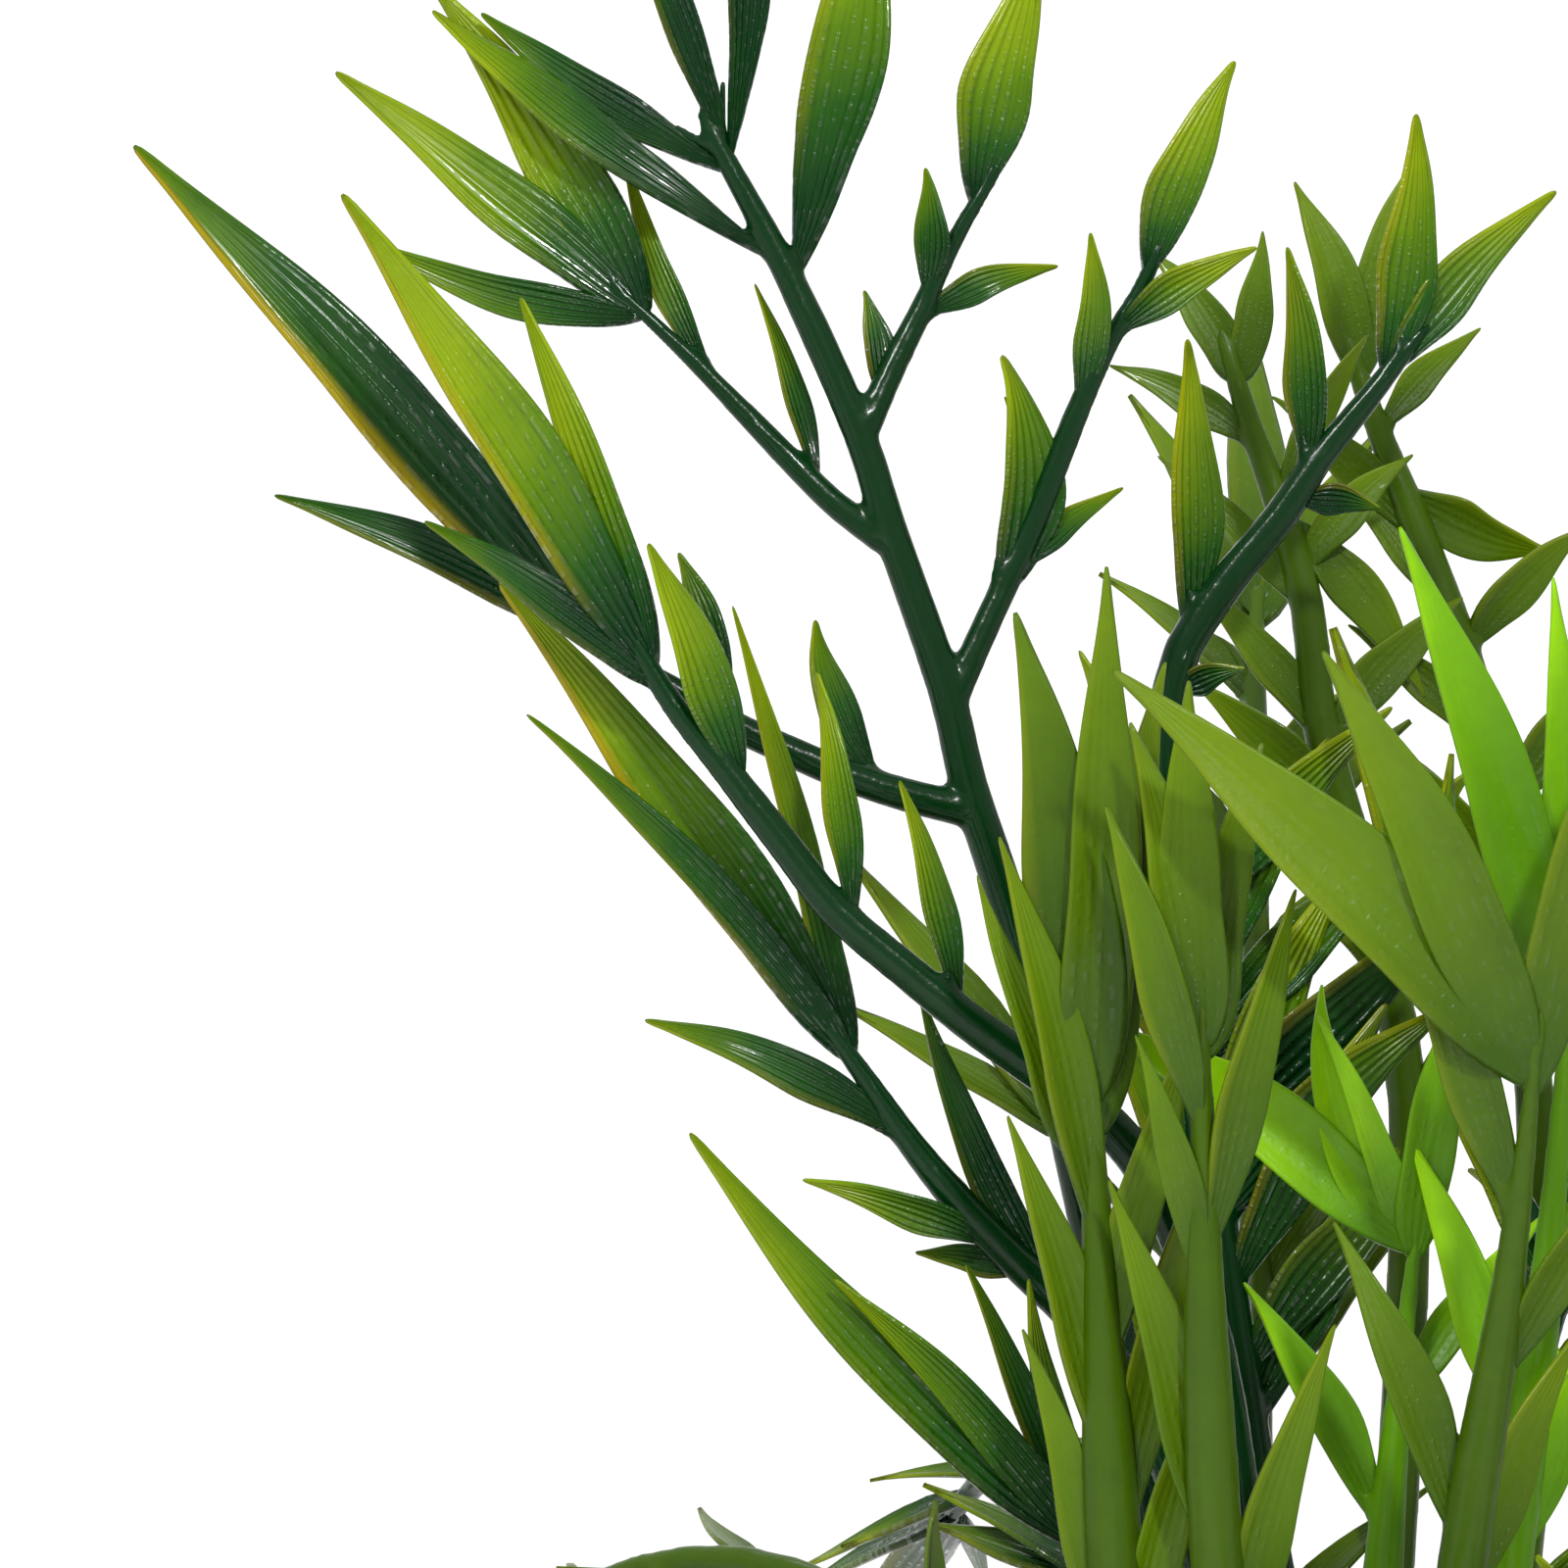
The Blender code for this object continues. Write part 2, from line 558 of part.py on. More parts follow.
def wood_limb(line, sides, seed):
    """A length of driftwood along a centre line of (x, y, z, radius), rippled like worn wood."""
    rng = random.Random(seed)
    waves = [(rng.choice((2, 3, 5)), rng.uniform(0, 2 * math.pi), rng.uniform(0.5, 1)) for _ in range(4)]
    route = smooth([p[:3] for p in line], WOOD_STEPS)
    radii = [v.x for v in smooth([(p[3], 0, 0) for p in line], WOOD_STEPS)]
    rings = []
    for i, (point, along) in enumerate(zip(route, tangents(route))):
        across = along.cross(Vector((0, 0, 1))).normalized()
        upward = across.cross(along)
        ring = []
        for k in range(sides):
            a = 2 * math.pi * k / sides
            ripple = sum(math.sin(n * a + phase + i * WOOD_TWIST) * share for n, phase, share in waves)
            radius = radii[i] * (1 + WOOD_RIPPLE * ripple / 2)
            ring.append(point + (across * math.cos(a) + upward * math.sin(a)) * radius)
        rings.append(ring)
    return loft(rings)


def block(low, high):
    """A box, for sawing the driftwood flat."""
    x0, y0, z0 = low
    x1, y1, z1 = high
    corners = [(x0, y0), (x1, y0), (x1, y1), (x0, y1)]
    return loft([[Vector((x, y, z)) for x, y in corners] for z in (z0, z1)])


def build_driftwood(sprigs):
    """The trunk with its drilled holes, and its arms, all sawn off flat at the underside."""
    saw = block((-120, -80, -40), (120, 80, 0))
    holes = [stem_of(s, GAP) for s in sprigs.values() if "parent" not in s]
    trunk = boolean(wood_limb(TRUNK, TRUNK_SIDES, TRUNK_SEED), [saw], "DIFFERENCE")
    finish("driftwood_trunk", boolean(trunk, holes, "DIFFERENCE"), "driftwood")
    fatter = [(x, y, z, radius + GAP * 1.4) for x, y, z, radius in TRUNK]
    for seed, (name, line) in enumerate(WOOD_ARMS.items(), TRUNK_SEED + 1):
        cutters = [wood_limb(fatter, TRUNK_SIDES, TRUNK_SEED), saw.copy()]
        finish(name, boolean(wood_limb(line, ARM_SIDES, seed), cutters, "DIFFERENCE"), "driftwood")


def main():
    for thing in list(bpy.data.objects):
        bpy.data.objects.remove(thing)
    sprigs = {**SPRIGS, **grown_sprigs()}
    for name, sprig in sprigs.items():
        build_sprig(name, sprig, sprigs)
    build_driftwood(sprigs)


main()
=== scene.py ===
"""Looks for a moulded plastic aquarium fern planted in a piece of driftwood."""

import math
import random

import bpy
import numpy as np
from mathutils import Matrix, Vector, noise


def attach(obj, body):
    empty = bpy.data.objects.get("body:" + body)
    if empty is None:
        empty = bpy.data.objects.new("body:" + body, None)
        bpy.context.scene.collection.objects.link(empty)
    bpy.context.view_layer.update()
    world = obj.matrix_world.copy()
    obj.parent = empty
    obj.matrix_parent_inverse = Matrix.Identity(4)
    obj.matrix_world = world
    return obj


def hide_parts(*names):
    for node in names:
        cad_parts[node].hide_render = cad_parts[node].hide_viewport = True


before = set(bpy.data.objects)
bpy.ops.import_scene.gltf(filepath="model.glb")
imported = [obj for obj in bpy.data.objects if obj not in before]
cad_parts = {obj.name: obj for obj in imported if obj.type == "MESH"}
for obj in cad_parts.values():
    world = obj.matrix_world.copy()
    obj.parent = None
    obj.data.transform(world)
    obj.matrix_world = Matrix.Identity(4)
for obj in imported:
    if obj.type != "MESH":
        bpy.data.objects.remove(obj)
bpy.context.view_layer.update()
bpy.ops.object.select_all(action="DESELECT")


# The moulding tool's blade. Every blade on the plant comes out of the same kind of cavity: a thin
# lance with raised ribs that run together at its foot and its tip, and a soft rounded edge.
# It is modelled flat, 20 units long and 3 wide, and then laid along each blade's own arc.

MM = 0.001
BLADE_SIZE = (3, 20)  # in millimetres, before it is laid
WIDEST = 0.42  # how far up the blade it is widest
FOOT_WIDTH = 0.42  # width of its foot, as a share of its full width
BLADE_THICK = 0.6  # in millimetres, at the foot
BLADE_TIP_THICK = 0.4  # share of that thickness left at the tip
RIB_DEPTH = 0.15  # depth of the grooves between the ribs, in millimetres
SOFT_RIB_DEPTH = 0.05  # the same on the broad blades
CUP = 0.14  # how far the blade's two edges curl up, as a share of its width
RIPPLE = 0.07  # how far each edge wanders in and out, as a share of the width


def outline(share):
    """The blade's width at a share of its length, against its full width."""
    if share < WIDEST:
        t = share / WIDEST
        pinch = 0.45 + 0.55 * min(t * 5, 1)
        return (FOOT_WIDTH + (1 - FOOT_WIDTH) * math.sin(t * math.pi / 2)) * pinch
    t = (share - WIDEST) / (1 - WIDEST)
    return max((1 - t**1.55) ** 1.12, 0.05)


def activate(thing):
    """Makes one object the only selected one."""
    bpy.ops.object.select_all(action="DESELECT")
    thing.select_set(True)
    bpy.context.view_layer.objects.active = thing


def apply_modifier(thing, kind, **settings):
    """Adds a modifier with these settings and applies it."""
    activate(thing)
    modifier = thing.modifiers.new(kind.lower(), kind)
    for key, value in settings.items():
        setattr(modifier, key, value)
    bpy.ops.object.modifier_apply(modifier=modifier.name)


def select_where(thing, test):
    """Selects only the vertices that pass a test, and stays in edit mode."""
    bpy.ops.mesh.select_all(action="DESELECT")
    bpy.ops.object.mode_set(mode="OBJECT")
    for vertex in thing.data.vertices:
        vertex.select = test(vertex.co)
    bpy.ops.object.mode_set(mode="EDIT")


def master_blade(name, columns, rows, rounds, rib_depth):
    """A flat blade from foot (y = 0) to tip, with ribs on it."""
    wide, long = BLADE_SIZE
    bpy.ops.mesh.primitive_grid_add(x_subdivisions=columns, y_subdivisions=rows, size=1)
    blade = bpy.context.object
    blade.name = name
    bpy.ops.object.mode_set(mode="EDIT")
    bpy.ops.mesh.select_mode(type="VERT")
    bpy.ops.mesh.select_all(action="SELECT")
    bpy.ops.transform.resize(value=(wide, long, 1), center_override=(0, 0, 0))
    bpy.ops.transform.translate(value=(0, long / 2, 0))
    step = wide / columns
    for column in range(1, columns, 2):
        x = column * step - wide / 2
        select_where(blade, lambda co: abs(co.x - x) < step / 4)
        bpy.ops.transform.translate(value=(0, 0, -rib_depth))
    for row in range(rows + 1):
        y = long * row / rows
        select_where(blade, lambda co: abs(co.y - y) < long / rows / 4)
        size = outline(row / rows)
        bpy.ops.transform.resize(value=(size, 1, size**0.6), center_override=(0, y, 0))
    bpy.ops.object.mode_set(mode="OBJECT")
    uv = blade.data.uv_layers.new(name="blade")
    for loop in blade.data.loops:
        co = blade.data.vertices[loop.vertex_index].co
        uv.data[loop.index].uv = (0.5 + co.x / wide / outline(co.y / long), co.y / long)
    apply_modifier(blade, "SOLIDIFY", thickness=BLADE_THICK, offset=0)
    bpy.ops.object.mode_set(mode="EDIT")
    for row in range(rows + 1):
        y = long * row / rows
        select_where(blade, lambda co: abs(co.y - y) < long / rows / 2)
        thin = 1 - (1 - BLADE_TIP_THICK) * row / rows
        bpy.ops.transform.resize(value=(1, 1, thin), center_override=(0, y, 0))
    bpy.ops.object.mode_set(mode="OBJECT")
    if rounds:
        apply_modifier(blade, "SUBSURF", levels=rounds, render_levels=rounds)
    return blade


fine_blade = master_blade("fine_blade", 12, 16, 1, RIB_DEPTH)
broad_blade = master_blade("broad_blade", 8, 14, 1, SOFT_RIB_DEPTH)
plain_blade = master_blade("plain_blade", 8, 12, 0, RIB_DEPTH)


def lay_blade(master, foot, tip, width, bow, lift, face, roll, twist, stalk, flare, phase, tone):
    """A copy of a blade laid along its own arc from foot to tip, all in millimetres.

    bow curves it sideways and lift out of the sprig's face, roll and twist turn it about its own
    length, stalk is the share of its length that stays as narrow as a stem, flare is how many times
    wider its foot is than usual, and phase is where the waves of its edges start."""
    mesh = master.data.copy()
    count = len(mesh.vertices)
    flat = np.empty(count * 3)
    mesh.vertices.foreach_get("co", flat)
    flat = flat.reshape(-1, 3)
    run = foot.lerp(tip, 0.5)
    along = (tip - foot).normalized()
    front = (Matrix.Rotation(math.radians(roll), 3, along) @ face).normalized()
    across = along.cross(front).normalized()
    front = across.cross(along).normalized()
    middle = np.array(run + across * bow * 2 + front * lift)
    start, end = np.array(foot), np.array(tip)
    flat /= (BLADE_SIZE[0], BLADE_SIZE[1], 1)
    share = np.clip(flat[:, 1], 0, 1)
    if stalk:
        share = np.where(share < 0.2, share / 0.2 * stalk, stalk + (share - 0.2) / 0.8 * (1 - stalk))
    s = share[:, None]
    centre = start * (1 - s) ** 2 + middle * 2 * s * (1 - s) + end * s**2
    way = 2 * (1 - s) * (middle - start) + 2 * s * (end - middle)
    way /= np.linalg.norm(way, axis=1)[:, None]
    side = np.array(across) - way * (way @ np.array(across))[:, None]
    side /= np.linalg.norm(side, axis=1)[:, None]
    up = np.cross(side, way)
    turn = np.radians(twist) * (s - 0.3)
    side, up = side * np.cos(turn) + up * np.sin(turn), up * np.cos(turn) - side * np.sin(turn)
    x = flat[:, :1] * width * (1 + (flare - 1) * np.clip(1 - s / WIDEST, 0, 1) ** 1.5)
    x *= 1 + RIPPLE * np.sin(2 * math.pi * 1.7 * s + phase + 2.3 * (x > 0)) * np.clip(4 * s, 0, 1)
    narrow = min(width / 2.6, 1)
    curl = CUP * width * (2 * flat[:, :1]) ** 2 * np.minimum(1, 3 * s)
    placed = centre + side * x + up * (flat[:, 2:] * narrow + curl)
    mesh.vertices.foreach_set("co", (placed * MM).ravel())
    tones = mesh.uv_layers.new(name="tone")
    tones.data.foreach_set("uv", np.tile(np.array(tone, float), len(mesh.loops)))
    mesh.update()
    thing = bpy.data.objects.new("blade", mesh)
    bpy.context.scene.collection.objects.link(thing)
    return thing


# Stems. The plastic flows from the sprig's foot up through round runners that branch and thin out,
# with a small web in every fork where the tool's edge is rounded. Runners are drawn as tubes,
# melted into one skin, and smoothed until the webs show.

STEM_VOXEL = 0.2
PETIOLE = (0.2, 0.5)  # radius of the runner that feeds a blade, against its width, and its taper
NECK = (0.7, 10)  # where it runs into its frond, a stem narrows to this share over this length
THICK_NECK = (0.3, 20)  # the same for a stem of 1 mm radius or more


def smooth_line(points, steps):
    """A smooth curve through the points, as a list of vectors."""
    knots = [Vector(p) for p in points]
    ends = [2 * knots[0] - knots[1], *knots, 2 * knots[-1] - knots[-2]]
    curve = []
    for a, b, c, d in zip(ends, ends[1:], ends[2:], ends[3:]):
        linear, square, cube = c - a, 2 * a - 5 * b + 4 * c - d, 3 * b - a - 3 * c + d
        for i in range(steps):
            t = i / steps
            curve.append(b + 0.5 * (linear * t + square * t**2 + cube * t**3))
    return [*curve, knots[-1]]


def tapered(line, first, last):
    """A radius for each point of a line, from the first to the last."""
    return [first + (last - first) * i / (len(line) - 1) for i in range(len(line))]


def stem_radii(curve, first, last):
    """Radii from a stem's foot to its end, with a neck where it runs into its frond."""
    narrowest, length = THICK_NECK if last >= 1 else NECK
    radii = tapered(curve, first, last)
    for i, point in enumerate(curve):
        left = min((curve[-1] - point).length / length, 1)
        radii[i] *= narrowest + (1 - narrowest) * left
    return radii


def melt_runners(name, runners, voxel, keep):
    """One smooth skin round a set of runners, each a (line, radii) in millimetres."""
    shape = bpy.data.curves.new(name, "CURVE")
    shape.dimensions = "3D"
    shape.bevel_depth = MM
    shape.bevel_resolution = 3
    shape.use_fill_caps = True
    for line, radii in runners:
        spline = shape.splines.new("POLY")
        spline.points.add(len(line) - 1)
        for knot, point, radius in zip(spline.points, line, radii):
            knot.co = (*(point * MM), 1)
            knot.radius = radius
    stems = bpy.data.objects.new(name, shape)
    bpy.context.scene.collection.objects.link(stems)
    activate(stems)
    bpy.ops.object.convert(target="MESH")
    stems = bpy.context.object
    apply_modifier(stems, "REMESH", mode="VOXEL", voxel_size=voxel * MM, adaptivity=0)
    apply_modifier(stems, "SMOOTH", factor=0.5, iterations=9)
    apply_modifier(stems, "DECIMATE", ratio=keep)
    return stems


# A sprig is one moulding: its runners with the blades on them. Its plan is the same one that the
# solid was built from, in millimetres: each stem's line and radii, and each blade as (height of
# its foot on the stem, tip, width, bow, stalk, tone), where tone says how far it yellows.

FACE_FRONT = Vector((0, -1, 0))
BLADE_TURN = 18  # degrees that the blades roll, one way and the other in turn
STEM_SHADE = 0.25  # an olive or lime stem has the colour that a blade has this far up
STEM_TONE = 0.4


def at_height(line, z):
    """The point where a rising line reaches the height z, and the way it runs there."""
    for a, b in zip(line, line[1:]):
        if z <= b.z:
            return a.lerp(b, (z - a.z) / (b.z - a.z)), (b - a).normalized()
    return line[-1], (line[-1] - line[-2]).normalized()


def at_distance(line, distance):
    """The point that far along a line, and the way it runs there."""
    for a, b in zip(line, line[1:]):
        span = (b - a).length
        if distance <= span:
            return a.lerp(b, distance / span), (b - a).normalized()
        distance -= span
    return line[-1], (line[-1] - line[-2]).normalized()


def distance_to(line, point):
    """How far along a line one of its own points is."""
    gone = 0
    for a, b in zip(line, line[1:]):
        span = (b - a).length
        if abs((point - a).length + (b - point).length - span) < 0.001:
            return gone + (point - a).length
        gone += span
    return gone


def mould_sprig(name, stems, finish, nodes, master=fine_blade, seed=0):
    """Makes a sprig of one or more stems, each a dict of line, radii and blades.

    A stem's face is the side that its blades turn to, and more are blades that only the look has."""
    rng = random.Random(seed)
    runners, blades = [], []
    for stem in stems:
        line = [Vector(p) for p in stem["line"]]
        face = Vector(stem.get("face", FACE_FRONT))
        curve = smooth_line(line, 3)
        radii = stem_radii(curve, *stem["radii"])
        ahead = (curve[-1] - curve[-2]).normalized()
        runners.append(([*curve, curve[-1] + ahead * 1.5], [*radii, radii[-1] * 0.4]))
        planned = stem["blades"] + stem.get("more", [])
        for i, (start, tip, width, bow, stalk, *look) in enumerate(planned):
            if isinstance(start, Vector):
                foot, along = start, at_distance(line, distance_to(line, start))[1]
            else:
                foot, along = at_height(line, start)
            tip = Vector(tip)
            reach = tip - foot
            on_end = (foot - line[-1]).length < 4
            outward = min(3.4, reach.length * 0.2)
            knots = [foot - along * 2.4, foot - along * 0.6, foot + reach.normalized() * outward]
            feed = smooth_line(knots, 3)
            most = radii[-1] * 0.9 if on_end else stem["radii"][1] * 0.75
            thick = min(max(width, 2.2) * PETIOLE[0], most)
            runners.append((feed, tapered(feed, thick, thick * PETIOLE[1])))
            tone = look[0] if look else rng.uniform(0.35, 0.65)
            rim = look[1] if len(look) > 1 else rng.uniform(0, 0.35)
            turn = BLADE_TURN * (1, -1, 0.4)[i % 3] * (0.5 if on_end else 1)
            wide_foot = max(1, stem["radii"][1] * 1.7 / (FOOT_WIDTH * width))
            blade = lay_blade(
                master,
                foot - along * 1.2 if on_end else foot,
                tip,
                width,
                bow,
                rng.uniform(-0.05, 0.09) * reach.length * (0.5 if on_end else 1),
                face,
                turn,
                rng.uniform(-20, 20) * (0.6 if on_end else 1),
                stalk,
                wide_foot if on_end and not stalk else 0.5,
                rng.uniform(0, 6),
                (tone, rim),
            )
            blades.append(blade)
    coarse = master is plain_blade
    sprig = melt_runners(name, runners, STEM_VOXEL * (1.4 if coarse else 1), 0.36 if coarse else 0.3)
    shade = 0.0 if finish is dark_plastic else STEM_SHADE
    for layer, value in (("blade", (0.5, shade)), ("tone", (STEM_TONE, 0.0))):
        uv = sprig.data.uv_layers.new(name=layer)
        uv.data.foreach_set("uv", np.tile(value, len(sprig.data.loops)))
    sprig.data.materials.clear()
    activate(sprig)
    for blade in blades:
        blade.select_set(True)
    bpy.ops.object.join()
    sprig.name = sprig.data.name = name
    sprig.data.materials.clear()
    sprig.data.materials.append(finish)
    bpy.ops.object.shade_smooth()
    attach(sprig, "root")
    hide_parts(*nodes)
    return sprig


# The three plastics. Each is a glossy injection-moulded plastic, coloured through, that was sprayed
# with a lighter green towards the blade tips. Ribs catch small beads of light where the tool's
# polish left them uneven, and some blades keep an orange-brown line of overspray on the rim.


class Wire:
    """A value in a shader that Python's operators work on."""

    def __init__(self, paint, socket):
        self.paint = paint
        self.socket = socket

    def maths(self, operation, *values):
        return self.paint.add("Math", {"operation": operation}, dict(enumerate(values)))

    def cosine(self):
        return self.maths("COSINE", self)

    def rounded(self):
        return self.maths("ROUND", self)

    def __add__(self, other):
        return self.maths("ADD", self, other)

    def __radd__(self, other):
        return self.maths("ADD", other, self)

    def __sub__(self, other):
        return self.maths("SUBTRACT", self, other)

    def __rsub__(self, other):
        return self.maths("SUBTRACT", other, self)

    def __mul__(self, other):
        return self.maths("MULTIPLY", self, other)

    def __rmul__(self, other):
        return self.maths("MULTIPLY", other, self)

    def __pow__(self, other):
        return self.maths("POWER", self, other)


class Paint:
    """A Principled material with its nodes."""

    def __init__(self, name, **constants):
        self.material = bpy.data.materials.new(name)
        self.material.use_nodes = True
        self.tree = self.material.node_tree
        self.shader = self.tree.nodes["Principled BSDF"]
        for key, value in constants.items():
            self.shader.inputs[key.replace("_", " ")].default_value = value

    def add(self, kind, settings=None, sockets=None, out=0):
        """Adds a node, with its settings first and then the values or wires of its sockets."""
        node = self.tree.nodes.new("ShaderNode" + kind)
        for key, value in (settings or {}).items():
            if key == "stops":
                while len(node.color_ramp.elements) < len(value):
                    node.color_ramp.elements.new(0.5)
                for element, (place, colour) in zip(node.color_ramp.elements, value):
                    element.position = place
                    element.color = (*colour, 1)
            else:
                setattr(node, key, value)
        for key, value in (sockets or {}).items():
            self.plug(node.inputs[key], value)
        return Wire(self, node.outputs[out])

    def plug(self, socket, value):
        if isinstance(value, Wire):
            self.tree.links.new(value.socket, socket)
        else:
            socket.default_value = value

    def mix(self, factor, first, second):
        """A colour between two colours."""
        settings = {"data_type": "RGBA"}
        return self.add("Mix", settings, {0: factor, 6: first, 7: second}, out=2)

    def parts(self, vector):
        """The x and y of a vector."""
        node = self.add("SeparateXYZ", None, {0: vector}).socket.node
        return Wire(self, node.outputs[0]), Wire(self, node.outputs[1])

    def place(self, x, y, z):
        """A vector of three values."""
        return self.add("CombineXYZ", None, {0: x, 1: y, 2: z})

    def noise(self, place, scale, detail=2.0, roughness=0.5):
        sockets = {"Vector": place, "Scale": scale, "Detail": detail, "Roughness": roughness}
        return self.add("TexNoise", None, sockets)

    def step(self, value, low, high):
        """0 below low and 1 above high, smooth in between."""
        settings = {"interpolation_type": "SMOOTHSTEP"}
        return self.add("MapRange", settings, {"Value": value, "From Min": low, "From Max": high})

    def finish(self, **wires):
        for key, value in wires.items():
            self.plug(self.shader.inputs[key.replace("_", " ")], value)
        return self.material


def green(red, green_share, blue):
    """A display colour, 0 to 255, as the shader's linear one."""
    return tuple((c / 255) ** 2.2 for c in (red, green_share, blue))


def moulded_plastic(name, colours, rim_colour, roughness, gloss, ribbing, beading):
    """A coloured-through plastic that lightens along each blade through the four colours.

    ribbing is how deep its ribs look, and beading how proud the beads on them stand."""
    paint = Paint(name, Coat_Roughness=0.07, Specular_IOR_Level=gloss)
    spot = paint.add("TexCoord", None, None, out=3)
    across, along = paint.parts(paint.add("UVMap", {"uv_map": "blade"}))
    tone, rim = paint.parts(paint.add("UVMap", {"uv_map": "tone"}))
    blotch = paint.noise(spot, 260.0, 3.0)
    on_blade = paint.step(along, 0.05, 0.45)
    shift = (tone - 0.5) * 0.85 - (across - 0.5) * 0.22
    reach = along + shift * on_blade + (blotch - 0.5) * 0.26
    stops = [(place, green(*c)) for place, c in zip((0.08, 0.36, 0.66, 0.96), colours)]
    colour = paint.add("ValToRGB", {"stops": stops}, {0: reach})
    rim_line = (1.0 - paint.step(across, 0.02, 0.24)) * paint.step(along, 0.1, 0.3) * rim
    colour = paint.mix(rim_line, colour, (*green(*rim_colour), 1))
    speck = paint.noise(spot, 1400.0, 2.0)
    dark = paint.add("HueSaturation", None, {"Value": 0.7, "Color": colour})
    colour = paint.mix(paint.step(speck, 0.3, 0.7) * 0.16, colour, dark)
    ribs = (across * (12 * math.pi)).cosine()
    lane = (across * 6.0).rounded()
    row = paint.place(lane * 7.3, along * 46.0, tone * 47.0 + rim * 31.0)
    crest = paint.step(ribs, -0.2, 1.0)
    near_foot = 1.0 - paint.step(along, 0.3, 0.75) * 0.85
    beads = paint.step(paint.noise(row, 1.0, 1.0), 0.46, 0.66) * crest * near_foot
    grain = paint.noise(spot, 3200.0, 2.0)
    height = beads * beading + ribs * ribbing * paint.step(along, 0.0, 0.06) + grain * 0.1 + blotch * 0.3
    bump = paint.add("Bump", None, {"Strength": 0.6, "Distance": 0.0003, "Height": height})
    return paint.finish(
        Base_Color=colour,
        Roughness=roughness + (speck - 0.5) * 0.12 + (blotch - 0.5) * 0.1 - beads * 0.24 * beading,
        Coat_Weight=beads * beading * 2.0 + gloss * 0.3,
        Normal=bump,
    )


dark_plastic = moulded_plastic(
    "dark_plastic_look",
    [(9, 46, 19), (32, 72, 18), (74, 106, 4), (116, 138, 2)],
    (140, 124, 4),
    roughness=0.23,
    gloss=0.17,
    ribbing=0.2,
    beading=0.46,
)
olive_plastic = moulded_plastic(
    "olive_plastic_look",
    [(50, 75, 6), (66, 91, 2), (77, 104, 2), (92, 116, 6)],
    (118, 126, 8),
    roughness=0.36,
    gloss=0.17,
    ribbing=0.03,
    beading=0.14,
)
lime_plastic = moulded_plastic(
    "lime_plastic_look",
    [(74, 120, 2), (87, 136, 1), (101, 153, 1), (135, 192, 2)],
    (138, 170, 8),
    roughness=0.36,
    gloss=0.17,
    ribbing=0.02,
    beading=0.1,
)


# The tall spray: one moulding with its top frond, and four branches that the solid splits off.
# It is dark green plastic, and its blades yellow towards their tips.

